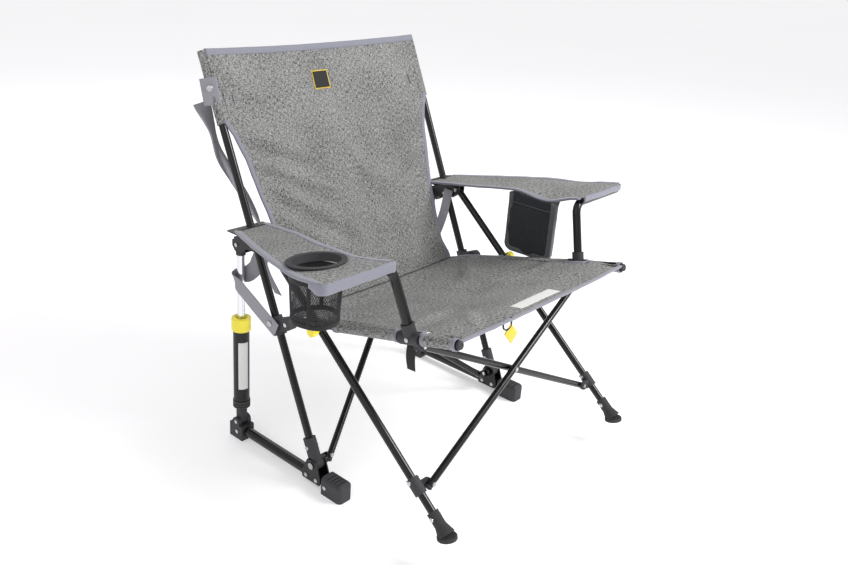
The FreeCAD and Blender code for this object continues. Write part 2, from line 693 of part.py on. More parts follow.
def build_front_leg(side, hand):
    """Front leg with its rubber boot, cross clamp and pivot knob."""
    top = front_leg_point(side, S["front_leg_top"]) - FRONT_DOWN * 12.0
    sole_point = front_leg_point(side, S["front_foot_height"] + 8.0)
    clamp = front_leg_point(side, S["front_cross_low_height"])
    clamp_rivet = clamp - FRONT_DOWN * 16.0
    boot_rivet = sole_point - FRONT_DOWN * (S["boot_length"] - 12.0)
    knob = knob_place(side)
    tube(hand + "_front_leg", top, sole_point, "leg_tube",
         [(front_leg_point(side, S["front_leg_top"]), X_AXIS), (knob, X_AXIS),
          (clamp_rivet, X_AXIS), (boot_rivet, X_AXIS)])

    # boot: sleeve flaring into a flat sole
    radius = S["boot_diameter"] / 2
    sleeve = Part.makeCylinder(radius, S["boot_length"], sole_point, FRONT_DOWN * -1)
    flare = Part.makeCone(radius + 6.0, radius, 20.0, sole_point + FRONT_DOWN * 2.0, FRONT_DOWN * -1)
    tilt = Rotation(X_AXIS, -S["sole_tilt"])
    sole_top = sole_point - Vector(0, 0, 4.0)
    disc = Part.makeCylinder(19.0, 7.0)
    disc = disc.makeFillet(2.0, disc.Edges[0:1])
    disc.Placement = Placement(sole_top, tilt).multiply(Placement(Vector(0, -3, -4), Rotation()))
    boot = sleeve.fuse([flare, disc])
    bore_radius = S["leg_tube"] / 2 + S["fit_gap"] / 2
    boot = boot.cut(Part.makeCylinder(bore_radius, 200, sole_point, FRONT_DOWN * -1))
    shank = S["rivet_diameter"] / 2 + S["pin_play"]
    boot = boot.cut(Part.makeCylinder(shank, 60, boot_rivet - X_AXIS * 30, X_AXIS))
    feature(hand + "_front_boot", boot.removeSplitter(), group="front_boots")

    # cross clamp: sleeve on the leg with a lug behind or ahead of the cross tube
    ends = front_cross_ends(side)
    normal = cross_normal(ends)
    away = normal * (1 if side < 0 else -1)
    sleeve = Part.makeCylinder(12.0, 34.0, clamp - FRONT_DOWN * 22.0, FRONT_DOWN)
    lug = cross_lug(ends[0], clamp, normal, away)
    body = sleeve.fuse(lug).cut(Part.makeCylinder(bore_radius, 100, clamp - FRONT_DOWN * 50, FRONT_DOWN))
    body = body.cut(Part.makeCylinder(shank, 80, ends[0] - normal * 40, normal))
    body = body.cut(Part.makeCylinder(shank, 40, clamp_rivet - X_AXIS * 20, X_AXIS))
    feature(hand + "_front_cross_clamp", body.removeSplitter(), group="front_cross_clamps")

    # pivot knob outside the leg: a round handle with finger lobes on a bolt
    outside = across(side, knob, S["leg_half_spacing"] + S["leg_tube"] / 2 + S["fit_gap"])
    outward = X_AXIS * side
    handle = Part.makeCylinder(S["knob_diameter"] / 2, 14.0, outside + outward * 4.0, outward)
    hub = Part.makeCylinder(7.0, 5.0, outside, outward)
    handle = handle.makeFillet(2.0, [e for e in handle.Edges if e.Curve.TypeId == "Part::GeomCircle"])
    handle = handle.fuse(hub)
    for count in range(6):
        angle = math.radians(60 * count)
        spot = Vector(0, math.cos(angle), math.sin(angle)) * (S["knob_diameter"] / 2 + 2.5)
        handle = handle.cut(Part.makeCylinder(4.0, 30, outside + spot - outward * 2, outward))
    rail_inner = across(side, knob, S["rail_half_spacing"] - S["leg_tube"] / 2 - 3.0)
    run = (outside - rail_inner).Length
    bolt = Part.makeCylinder(S["rivet_diameter"] / 2, run + 4.0, rail_inner, outward)
    nut = Part.makeCylinder(5.0, 3.0, rail_inner, outward)
    feature(hand + "_pivot_knob", handle.fuse([bolt, nut]).removeSplitter(), group="pivot_knobs")
    leg = S["leg_tube"] + 2 * S["fit_gap"]
    return [(front_leg_point(side, S["front_leg_top"]), X_AXIS, leg + 2 * S["plate_gauge"]),
            (boot_rivet, X_AXIS, 2 * radius), (clamp_rivet, X_AXIS, 24.0)]


def cross_lug(rivet, anchor, normal, away):
    """Lug from a clamp to a cross tube's rivet, on one side of the cross plane."""
    thick = 6.0
    wide = 18.0
    run = Vector(anchor.x - rivet.x, 0, 0)
    base = rivet + away * 0.3
    up = X_AXIS.cross(normal)
    start = base - up * (wide / 2)
    corners = [start, start + run, start + run + up * wide, start + up * wide, start]
    slab = Part.Face(Part.makePolygon(corners)).extrude(away * thick)
    end = Part.makeCylinder(wide / 2, thick, base, away)
    return slab.fuse(end)


# ---------------------------------------------------------------- seat rail


def build_seat_rail(side, hand):
    """Seat rail with its front bracket and end cap."""
    rear = rail_point(side, S["rail_rear_setback"] + 10.0)
    front = rail_point(side, -S["rail_front_reach"])
    bracket = rail_point(side, -S["bracket_reach"])
    knob = across(side, knob_place(side), S["rail_half_spacing"])
    tube(hand + "_seat_rail", rear, front, "leg_tube",
         [(rail_rear(side), X_AXIS), (knob, X_AXIS), (bracket, X_AXIS)])

    # moulded bracket: saddle on the rail, socket for the arm post, lug for the cross tube
    radius = S["leg_tube"] / 2 + S["fit_gap"] / 2
    saddle = Part.makeCylinder(13.0, 46.0, bracket - RAIL_FRONT * 23.0, RAIL_FRONT)
    foot, way = post_foot(side)
    socket = Part.makeCylinder(S["post_tube"] / 2 + 3.5, 30.0, bracket - way * 2.0, way)
    ends = front_cross_ends(-side)
    normal = cross_normal(ends)
    away = normal * (1 if side > 0 else -1)
    hook = cross_hanger(side, ends[1], normal, away)
    body = saddle.fuse([socket, hook])
    body = body.cut(Part.makeCylinder(radius, 200, bracket - RAIL_FRONT * 100, RAIL_FRONT))
    body = body.cut(Part.makeCylinder(S["post_tube"] / 2 + S["fit_gap"] / 2, 60, foot, way))
    shank = S["rivet_diameter"] / 2 + S["pin_play"]
    body = body.cut(Part.makeCylinder(shank, 80, ends[1] - normal * 40, normal))
    body = body.cut(Part.makeCylinder(shank, 60, bracket - X_AXIS * 30, X_AXIS))
    for outward in (X_AXIS, X_AXIS * -1):
        body = body.cut(Part.makeCylinder(5.0, 20, bracket + outward * 13.0, outward))
    feature(hand + "_rail_bracket", body.removeSplitter())

    rail_grip = rail_rear(side)
    outer_face = S["leg_half_spacing"] + 10.0
    inner_face = S["rail_half_spacing"] - S["leg_tube"] / 2
    middle = across(side, rail_grip, (outer_face + inner_face) / 2)
    return [(middle, X_AXIS, outer_face - inner_face), (bracket, X_AXIS, 26.0)]


def cross_hanger(side, rivet, normal, away):
    """Lug that hangs from the rail bracket down to the upper rivet of a cross tube."""
    thick = 6.0
    wide = 18.0
    rail = rail_point(side, CROSS_TOP_SETBACK)
    up = X_AXIS.cross(normal)
    if up.z < 0:
        up = up * -1
    base = rivet + away * 0.3
    inner = base - X_AXIS * (wide / 2)
    width = X_AXIS * wide
    if side > 0:
        width = X_AXIS * (wide + abs(rail.x) - abs(rivet.x) - 4.0)
    else:
        inner = base + X_AXIS * (wide / 2)
        width = X_AXIS * -(wide + abs(rail.x) - abs(rivet.x) - 4.0)
    height = (rail - rivet).dot(up)
    corners = [inner, inner + width, inner + width + up * height, inner + up * height, inner]
    slab = Part.Face(Part.makePolygon(corners)).extrude(away * thick)
    end = Part.makeCylinder(wide / 2, thick, base, away)
    return slab.fuse(end)


def post_foot(side):
    """Lower end of the arm post's centre line, and its direction."""
    bracket = rail_point(side, -S["bracket_reach"])
    top = bracket + Vector(side * S["post_splay"], S["post_lean"], S["post_height"])
    way = (top - bracket).normalize()
    return bracket + way * (S["leg_tube"] / 2 + 2.0), way


# ---------------------------------------------------------------- arms


def post_corner(side):
    """Where the arm post's centre line turns outwards."""
    foot, _ = post_foot(side)
    bracket = rail_point(side, -S["bracket_reach"])
    return bracket + Vector(side * S["post_splay"], S["post_lean"], S["post_height"])


def build_arm(side, hand):
    """Arm post, rear plate and cloth panel."""
    foot, _ = post_foot(side)
    corner = post_corner(side)
    tip = Vector(side * (S["arm_outer_half"] - 4.0), corner.y - 2.0, corner.z + 3.0)
    outside = polyline_tube([foot, corner, tip], S["post_tube"] / 2, S["post_bend"])
    inside = polyline_tube([foot, corner, tip], S["post_tube"] / 2 - S["tube_wall"], S["post_bend"])
    feature(hand + "_arm_post", outside.cut(inside))

    # rear plate under the cloth, with a hole for the rear leg
    gauge = S["plate_gauge"]
    rear_y = 210.0
    mid_x = side * (S["leg_half_spacing"] - 3.0)
    z_low = S["arm_rear_height"] - S["fabric"] - gauge
    slab = box(hand + "_arm_plate_blank", (mid_x - 44.0, 186.0 + S["pivot_setback"], z_low),
               (88.0, 40.0, gauge))
    leg_way = cylinder(hand + "_arm_plate_way", leg_point(side, z_low - 60.0),
                       leg_point(side, z_low + 60.0), "Sizes.leg_tube / 2 + 1")
    name_part(cut(hand + "_arm_plate", slab, leg_way), hand + "_arm_plate", group="arm_plates")

    # cloth panel: narrow behind, wide and rounded in front, its hem over the post's bar
    arm_panel(side, hand, rear_y)


def arm_panel(side, hand, rear_y):
    """Armrest cloth as a thin slab on the arm's slope."""
    inner, outer = S["arm_inner_half"], S["arm_outer_half"]
    front = -184.0
    points = [(inner - 55.0, rear_y), (inner + 25.0, rear_y), (outer - 80.0, 95.0),
              (outer - 38.0, -8.0), (outer - 17.0, -77.0), (outer - 2.0, -130.0),
              (outer, front + 26.0), (outer - 10.0, front + 6.0), (outer - 53.0, front),
              (inner - 5.0, front), (inner - 13.0, front + 16.0), (inner, -122.0),
              (inner - 7.0, -6.0), (inner - 34.0, 85.0)]
    corners = [Vector(side * x, y + S["pivot_setback"], 0) for x, y in points]
    face = Part.Face(Part.makePolygon(corners + corners[:1]))
    slab = face.extrude(Z_AXIS * S["fabric"])
    tilt = math.tan(math.radians(S["arm_slope"]))
    shear = FreeCAD.Matrix()
    shear.A32 = -tilt
    lift = arm_height(0.0) - S["fabric"] + tilt * S["pivot_setback"]
    slab = slab.transformGeometry(shear)
    slab.translate(Vector(0, 0, lift))
    leg_way = Part.makeCylinder(S["leg_tube"] / 2 + 1.0, 900, leg_point(side, 60.0), LEG_UP)
    slab = slab.cut(leg_way)
    if side < 0:
        centre = cup_centre()
        hole = Part.makeCylinder(S["cup_ring"] / 2 - 4.0, 80, centre - arm_normal() * 40, arm_normal())
        slab = slab.cut(hole)
    feature(hand + "_armrest", slab)


def arm_normal():
    """Upward normal of the armrests."""
    tilt = math.radians(S["arm_slope"])
    return Vector(0, math.sin(tilt), math.cos(tilt))


def cup_centre():
    """Middle of the cup ring, on the armrest's upper face."""
    setback = -82.0
    x = -(S["arm_inner_half"] + S["arm_outer_half"]) / 2 + 3.5
    return at(x, setback, arm_height(setback))


def build_cup_holder():
    """Moulded ring in the right armrest and the mesh cup under it."""
    up = arm_normal()
    centre = cup_centre()
    outer, inner = S["cup_ring"] / 2, S["cup_hole"] / 2
    flange = Part.makeCylinder(outer, 3.0, centre + up * 0.2, up)
    neck = Part.makeCylinder(outer - 5.0, 12.0, centre - up * 11.8, up)
    ring = flange.fuse(neck).cut(Part.makeCylinder(inner, 60, centre - up * 30, up))
    feature("cup_ring", ring.removeSplitter().makeFillet(1.0, rim_edges(ring, outer)))

    wall = 2.0
    top_radius = outer - 5.2
    low = centre - Z_AXIS * (S["cup_depth"] + 6.0)
    bottom_radius = top_radius - 4.0
    shell = Part.makeCone(bottom_radius, top_radius, S["cup_depth"] - 14.0, low, Z_AXIS)
    hollow = Part.makeCone(bottom_radius - wall, top_radius - wall, S["cup_depth"] - 14.0,
                           low + Z_AXIS * wall, Z_AXIS)
    feature("cup_basket", shell.cut(hollow).removeSplitter())


def rim_edges(shape, radius):
    """Round edges of one radius."""
    return [e for e in shape.Edges if e.Curve.TypeId == "Part::GeomCircle"
            and abs(e.Curve.Radius - radius) < 0.1]


def build_phone_pocket():
    """Flat cloth pocket that hangs from the left armrest's inner edge."""
    wall = 1.8
    thick = S["pocket_gap"] + 2 * wall
    length, depth = S["pocket_length"], S["pocket_depth"]
    x = S["arm_inner_half"] - 20.8
    top = arm_height(-66.0) - 16.0
    shell = Part.makeBox(thick, length, depth, at(x, -129.0, top - depth))
    hollow = Part.makeBox(S["pocket_gap"], length - 2 * wall, depth,
                          at(x + wall, -129.0 + wall, top - depth + wall))
    feature("phone_pocket", shell.cut(hollow))


# ---------------------------------------------------------------- cross tubes


def build_cross(label, ends, shift):
    """One cross tube between its rivets, beside the plane the pair crosses in."""
    low, high = ends
    normal = cross_normal(ends)
    offset = normal * shift
    way = (high - low).normalize()
    middle = cross_middle(ends)
    places = [(low + offset, normal), (high + offset, normal), (middle + offset, normal)]
    tube(label, low + offset - way * 8.0, high + offset + way * 8.0, "cross_tube", places)


def build_crosses():
    """Front and rear crosses, with a rivet where each pair crosses."""
    shift = S["cross_tube"] / 2 + 0.2
    rivets = []
    for label, ends_of in (("front_cross", front_cross_ends), ("rear_cross", rear_cross_ends)):
        for side, hand in ((-1, "right"), (1, "left")):
            ends = ends_of(side)
            build_cross("%s_%s" % (label, hand), ends, shift * side)
            normal = cross_normal(ends)
            lug = 6.3
            span = S["cross_tube"] + 0.2 + lug
            for end in ends:
                seat = end + normal * (side * (S["cross_tube"] + 0.2 - lug) / 2)
                rivets.append((seat, normal, span))
        ends = ends_of(1)
        rivets.append((cross_middle(ends), cross_normal(ends), 4 * shift))
    return rivets


def build_rear_cross_lugs(side, hand):
    """Small brackets for the rear cross: on the rock pin and on the arm hub."""
    low, _ = rear_cross_ends(side)
    _, high = rear_cross_ends(-side)
    normal = cross_normal(rear_cross_ends(side))
    shank = S["rivet_diameter"] / 2 + S["pin_play"]
    gap = S["base_tube"] / 2 + S["fit_gap"] + S["plate_gauge"]

    # lower: cheese-shaped boss on the inner end of the rock pin
    away = normal * (1 if side < 0 else -1)
    face_x = S["leg_half_spacing"] - gap - 1.0
    anchor = across(side, low, face_x)
    lug = cross_lug(low, anchor, normal, away)
    pin_end = across(side, pivot(side), S["rear_cross_low_half"] + 3.0)
    boss_start = across(side, pivot(side), face_x)
    boss = Part.makeCylinder(9.0, 11.0, boss_start, X_AXIS * -side)
    body = lug.fuse(boss)
    body = body.cut(Part.makeCylinder(S["pivot_pin"] / 2 + 0.01, 60, pin_end, X_AXIS * side))
    body = body.cut(Part.makeCylinder(shank, 80, low - normal * 40, normal))
    tube_way = cross_tube_way(rear_cross_ends(side), side)
    feature(hand + "_rear_cross_foot", body.cut(tube_way).removeSplitter(),
            group="rear_cross_feet")

    # upper: lug on the inner cheek of the arm hub
    away = normal * (1 if side > 0 else -1)
    cheek = S["leg_half_spacing"] - S["leg_tube"] / 2 - S["fit_gap"] - S["plate_gauge"]
    anchor = across(side, high, cheek)
    body = cross_lug(high, anchor, normal, away)
    pad = Part.makeBox(3.0, 26.0, 22.0, Vector(-1.5, -16.0, -11.0))
    pad.Placement = Placement(across(side, strut_high(side), cheek - 1.5) + Vector(0, 12.0, 0), Rotation())
    body = body.fuse(pad)
    body = body.cut(Part.makeCylinder(S["pivot_pin"] / 2 + 0.2, 60, strut_high(side) - X_AXIS * 30, X_AXIS))
    body = body.cut(Part.makeCylinder(shank, 80, high - normal * 40, normal))
    tube_way = cross_tube_way(rear_cross_ends(-side), -side)
    feature(hand + "_rear_cross_lug", body.cut(tube_way).removeSplitter(),
            group="rear_cross_lugs")


def cross_tube_way(ends, side):
    """Clear way around a cross tube, to cut from the brackets beside it."""
    low, high = ends
    offset = cross_normal(ends) * (side * (S["cross_tube"] / 2 + 0.2))
    way = (high - low).normalize()
    start = low + offset - way * 12.0
    return Part.makeCylinder(S["cross_tube"] / 2 + 0.15, (high - low).Length + 24.0, start, way)


# ---------------------------------------------------------------- cloth


def sleeve(start, end, radius):
    """Cloth sleeve around a tube."""
    axis = end - start
    outer = Part.makeCylinder(radius + 0.4 + S["sleeve_wall"], axis.Length, start, axis)
    return outer, Part.makeCylinder(radius + 0.4, axis.Length + 40, start - axis.normalize() * 20, axis)


def sagging_section(half, sag, thickness):
    """Cross-section of a hanging cloth: an arc of the sag between two edges."""
    def arc(lift):
        return Part.Arc(Vector(-half, lift, 0), Vector(0, lift - sag, 0), Vector(half, lift, 0)).toShape()
    top, bottom = arc(0.0), arc(-thickness)
    left = Part.LineSegment(Vector(-half, 0, 0), Vector(-half, -thickness, 0)).toShape()
    right = Part.LineSegment(Vector(half, 0, 0), Vector(half, -thickness, 0)).toShape()
    return Part.Face(Part.Wire(Part.__sortEdges__([top, left, bottom, right])))


def build_back():
    """Back cloth: sleeves on both posts above, a waist below, sagging to the rear."""
    top_z = S["back_top_height"] + 2.0
    low_z = S["seam_height"]
    half = S["leg_half_spacing"]
    origin = leg_point(0, low_z)
    height = (leg_point(0, top_z) - origin).Length
    # local frame: X across, Y to the front of the cloth, Z up the legs
    frame = Placement(origin, Rotation(X_AXIS, Vector(), LEG_UP, "ZXY"))
    section = sagging_section(half, S["back_sag"], S["fabric"])
    section.translate(Vector(0, S["fabric"] / 2, 0))
    slab = section.extrude(Z_AXIS * height)
    sleeve_low = height - S["back_sleeve"] / LEG_UP.z
    waist = S["back_waist_half"]
    shape_points = [(half + 30, height + 5), (half + 30, sleeve_low), (half - 9, sleeve_low - 8),
                    (waist + 22, sleeve_low - 62), (waist + 10, sleeve_low - 130),
                    (waist, sleeve_low - 230), (waist - 8, 90), (waist + 12, -5)]
    ring = [Vector(x, -80, z) for x, z in shape_points]
    ring += [Vector(-x, -80, z) for x, z in reversed(shape_points)]
    cutter = Part.Face(Part.makePolygon(ring + ring[:1])).extrude(Y_AXIS * 160)
    slab = slab.common(cutter)
    slab.Placement = frame
    pieces, bores = [slab], []
    for side in (-1, 1):
        outer, bore = sleeve(leg_point(side, top_z - S["back_sleeve"]), leg_point(side, top_z),
                             S["leg_tube"] / 2)
        pieces.append(outer)
        bores.append(bore)
    cloth = pieces[0].fuse(pieces[1:])
    for bore in bores:
        cloth = cloth.cut(bore)
    feature("back_panel", cloth.removeSplitter())


def build_seat():
    """Seat cloth between the rails, with a sleeve behind and ahead of each bracket."""
    rear_y = S["rail_rear_setback"] + 22.0
    rear = rail_point(0, rear_y)
    front = rail_point(0, -S["rail_front_reach"] + 4.0)
    half = S["rail_half_spacing"] - S["leg_tube"] / 2 - 1.5
    run = (front - rear).Length
    section = sagging_section(half + 6.0, S["seat_sag"], S["fabric"])
    slab = section.extrude(Z_AXIS * run)
    lift = Placement(Vector(0, S["fabric"] / 2, 0), Rotation())
    frame = Placement(rear, Rotation(X_AXIS, Vector(), RAIL_FRONT, "ZXY"))
    slab.Placement = frame.multiply(lift)
    pieces, bores = [], []
    for side in (-1, 1):
        for begin, end in ((-16.0, -S["bracket_reach"] + 27.0),
                           (-S["bracket_reach"] - 27.0, -S["rail_front_reach"] + 6.0)):
            outer, bore = sleeve(rail_point(side, begin), rail_point(side, end), S["leg_tube"] / 2)
            pieces.append(outer)
            bores.append(bore)
        # the cloth is cut away around each bracket, and behind the sleeves
        gap = Part.makeBox(60, 62.0, 120, Vector(-26, -31, -60))
        gap.Placement = Placement(rail_point(side, -S["bracket_reach"]), Rotation())
        bores.append(gap)
        back_gap = Part.makeBox(44, 160, 120, Vector(-22, 0, -60))
        back_gap.Placement = Placement(rail_point(side, -16.0), Rotation())
        bores.append(back_gap)
    cloth = slab.fuse(pieces)
    for bore in bores:
        cloth = cloth.cut(bore)
    feature("seat_panel", cloth.removeSplitter())


def tape(start, end, width_axis, thickness, width):
    """One straight run of flat webbing, its width along an axis."""
    run = end - start
    across_run = Vector(width_axis)
    across_run = (across_run - run * (across_run.dot(run) / run.dot(run))).normalize()
    normal = run.cross(across_run).normalize()
    corner = start - across_run * (width / 2) - normal * (thickness / 2)
    face = Part.Face(Part.makePolygon([corner, corner + across_run * width,
                                       corner + across_run * width + normal * thickness,
                                       corner + normal * thickness, corner]))
    return face.extrude(run)


def ribbon(x, points, width, thickness):
    """Webbing that lies in the side view: mitred at its turns, its face across the chair."""
    first, last = [], []
    for count, point in enumerate(points):
        before = points[max(count - 1, 0)]
        after = points[min(count + 1, len(points) - 1)]
        into = (point - before) if count else (after - point)
        out = (after - point) if count + 1 < len(points) else into
        way = (Vector(into).normalize() + Vector(out).normalize()).normalize()
        reach = width / 2 / way.dot(Vector(out).normalize())
        side = Vector(0, -way.z, way.y) * reach
        first.append(Vector(x, point.y, point.z) + side)
        last.append(Vector(x, point.y, point.z) - side)
    ring = first + last[::-1]
    return Part.Face(Part.makePolygon(ring + ring[:1])).extrude(X_AXIS * -thickness)


def build_straps():
    """Carry strap on the right leg: flap above, hanging band, end on the rail collar."""
    half = S["leg_half_spacing"]
    gauge, width = S["webbing"], S["webbing_width"]
    on_sleeve = -(half + S["leg_tube"] / 2 + S["sleeve_wall"] + 0.8)
    on_collar = -(half + 13.3)
    top = leg_point(-1, 752.0)
    fold = top + Vector(0, 30.0, -14.0)
    low = leg_point(-1, 322.0)
    pieces = (
        ("flap", on_sleeve, [top + Vector(0, -8.0, 10.0), fold], width),
        ("band", on_sleeve - gauge - 0.6,
         [fold, at(0, 306.0, 640.0), at(0, 262.0, 540.0), at(0, 255.0, 420.0)], width - 4.0),
        ("end", on_collar - 2 * gauge, [at(0, 262.0, 384.0), low + Vector(0, -4.0, -6.0)], width),
    )
    for name, x, points, wide in pieces:
        feature("carry_strap_" + name, ribbon(x, points, wide, gauge), group="carry_strap")


def build_small_cloth():
    """Corner straps, pull tag and care label."""
    shapes = []
    for side in (-1, 1):
        top = at(side * 270.0, 176.0, 474.0)
        low = at(side * (S["back_waist_half"] + 8.0), 168.0, 352.0)
        shapes.append(tape(top, low, Vector(0, 1, 0.2), S["webbing"], 22.0))
    feature("corner_straps", Part.makeCompound(shapes))
    hem = rail_point(0, -S["rail_front_reach"] + 10.0)
    under = hem.z - S["seat_sag"] * (1 - (105.0 / S["rail_half_spacing"]) ** 2) - S["fabric"] - 2.5
    tag = Part.makeBox(26.0, 2.0, 34.0, Vector(-118.0, hem.y, under - 44.0))
    loop = Part.makeBox(18.0, 2.0, 12.0, Vector(-114.0, hem.y, under - 12.0))
    feature("pull_tag", tag.fuse(loop).removeSplitter())
    label = rail_point(-1, -S["bracket_reach"] + 6.0)
    feature("care_label", Part.makeBox(1.6, 22.0, 46.0,
                                       Vector(label.x + 12.0, label.y - 8.0, label.z - 68.0)))


# ---------------------------------------------------------------- the chair


def build_chair():
    """Every sub-part, side by side and then across."""
    frame_rivets = []
    for side, hand in ((-1, "right"), (1, "left")):
        build_base(side, hand)
        build_strut(side, hand)
        frame_rivets += build_rear_leg(side, hand)
        frame_rivets += build_front_leg(side, hand)
        frame_rivets += build_seat_rail(side, hand)
        build_arm(side, hand)
        build_rear_cross_lugs(side, hand)
    frame_rivets += build_crosses()
    rivet_group("frame_rivets", frame_rivets)
    build_cup_holder()
    build_phone_pocket()
    build_back()
    build_seat()
    build_straps()
    build_small_cloth()
    build_groups()


def check_document():
    """Stop if any object failed or any sub-part has no valid solid."""
    for obj in doc.Objects:
        bad = [state for state in obj.State if state in ("Invalid", "Error")]
        if bad:
            raise RuntimeError("%s is %s" % (obj.Label, bad))
    for obj in SUB_PARTS:
        shape = obj.Shape
        if shape.isNull() or not shape.isValid() or not shape.Solids:
            raise RuntimeError("%s has no valid solid" % obj.Label)


build_chair()
doc.recompute()
check_document()
os.makedirs("parts", exist_ok=True)
for part in SUB_PARTS:
    part.Shape.exportStep(os.path.join("parts", part.Label + ".step"))
print("wrote %d sub-parts" % len(SUB_PARTS))
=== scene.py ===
import json
import logging
import math
from dataclasses import dataclass, field
from enum import Enum
from typing import Callable, Sequence

import bmesh
import bpy
import numpy as np
from mathutils import Matrix, Vector, noise


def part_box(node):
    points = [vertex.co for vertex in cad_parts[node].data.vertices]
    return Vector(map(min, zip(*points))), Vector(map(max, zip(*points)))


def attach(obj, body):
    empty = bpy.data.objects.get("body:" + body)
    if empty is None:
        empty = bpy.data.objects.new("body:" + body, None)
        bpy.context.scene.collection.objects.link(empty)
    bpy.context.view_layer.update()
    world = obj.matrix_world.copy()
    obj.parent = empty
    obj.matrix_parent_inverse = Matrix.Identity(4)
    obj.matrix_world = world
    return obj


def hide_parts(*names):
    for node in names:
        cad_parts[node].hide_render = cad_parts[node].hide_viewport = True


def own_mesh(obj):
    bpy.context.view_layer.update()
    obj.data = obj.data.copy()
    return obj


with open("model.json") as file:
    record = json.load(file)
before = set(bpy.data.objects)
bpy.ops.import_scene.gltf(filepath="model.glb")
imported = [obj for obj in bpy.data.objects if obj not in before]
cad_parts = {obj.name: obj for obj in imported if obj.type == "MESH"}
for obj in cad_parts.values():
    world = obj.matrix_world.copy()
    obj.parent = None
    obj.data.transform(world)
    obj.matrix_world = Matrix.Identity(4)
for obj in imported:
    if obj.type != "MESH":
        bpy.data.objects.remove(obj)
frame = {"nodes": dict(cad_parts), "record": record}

LOG = logging.getLogger("camp_chair")
SEAT_BODY = "seat_frame"
SIDES = {"right": -1.0, "left": 1.0}

# sizes that several pieces share, metres
ARMREST_RISE = 0.003
SNAP_RADIUS, SNAP_HEIGHT = 0.0068, 0.0032
SLEEVE_GAUGE = 0.0014

# cross-section of a crease: gain over its depth, then share, place and width of the dip beside it
CREASE_GAIN, DIP_SHARE, DIP_PLACE, DIP_WIDTH = 1.7, 0.55, 1.6, 1.2

PointFn = Callable[[float, float], Vector]
KeepFn = Callable[[float, float], bool]


# --------------------------------------------------------------------------
# small maths
# --------------------------------------------------------------------------


def smooth(value: float, low: float, high: float) -> float:
    """Smooth step from 0 at low to 1 at high.

    Args:
        value: where to evaluate.
        low: value that gives 0.
        high: value that gives 1.

    Returns:
        A number from 0 to 1.
    """
    share = min(max((value - low) / (high - low), 0.0), 1.0)
    return share * share * (3.0 - 2.0 * share)


def table(value: float, knots: Sequence[tuple[float, float]]) -> float:
    """Straight-line interpolation in a table with rising first column.

    Args:
        value: where to evaluate.
        knots: (position, result) pairs in rising order.

    Returns:
        The interpolated result, held constant outside the table.
    """
    return float(np.interp(value, [k[0] for k in knots], [k[1] for k in knots]))


def bump_of(value: float, centre: float, width: float) -> float:
    """Bell curve of height 1 about a centre."""
    return math.exp(-(((value - centre) / width) ** 2))


def spline(points: Sequence[Vector], count: int) -> list[Vector]:
    """Points along a Catmull-Rom curve through the given points.

    Args:
        points: at least two points the curve passes through.
        count: number of points to return.

    Returns:
        Evenly parametrised points, the ends included.
    """
    ends = [points[0] * 2 - points[1], *points, points[-1] * 2 - points[-2]]
    result = []
    for index in range(count):
        place = index / (count - 1) * (len(points) - 1)
        cell = min(int(place), len(points) - 2)
        t = place - cell
        a, b, c, d = ends[cell : cell + 4]
        result.append(
            0.5
            * (
                2 * b
                + (c - a) * t
                + (2 * a - 5 * b + 4 * c - d) * t * t
                + (3 * b - a - 3 * c + d) * t * t * t
            )
        )
    return result


@dataclass(frozen=True)
class Axis:
    """Centre line of a straight tube of the frame, lower end first."""

    start: Vector
    end: Vector

    @classmethod
    def of(cls, node: str) -> "Axis":
        """Centre line of a CAD tube, measured from its mesh.

        Args:
            node: name of the CAD node.

        Returns:
            The axis, its lower end first.
        """
        mesh = frame["nodes"][node].data
        points = np.array([v.co for v in mesh.vertices], float)
        middle = points.mean(0)
        way = np.linalg.svd(points - middle, full_matrices=False)[2][0]
        along = (points - middle) @ way
        ends = [points[along < along.min() + 0.001], points[along > along.max() - 0.001]]
        low, high = sorted((Vector(e.mean(0)) for e in ends), key=lambda p: p.z)
        return cls(low, high)

    def at_height(self, z: float) -> Vector:
        """Point of the axis at a height."""
        return self.start.lerp(self.end, (z - self.start.z) / (self.end.z - self.start.z))

    def at_depth(self, y: float) -> Vector:
        """Point of the axis at a place front to back."""
        return self.start.lerp(self.end, (y - self.start.y) / (self.end.y - self.start.y))

    @property
    def way(self) -> Vector:
        """Unit vector along the axis, upwards."""
        return (self.end - self.start).normalized()


# --------------------------------------------------------------------------
# finishes
# --------------------------------------------------------------------------


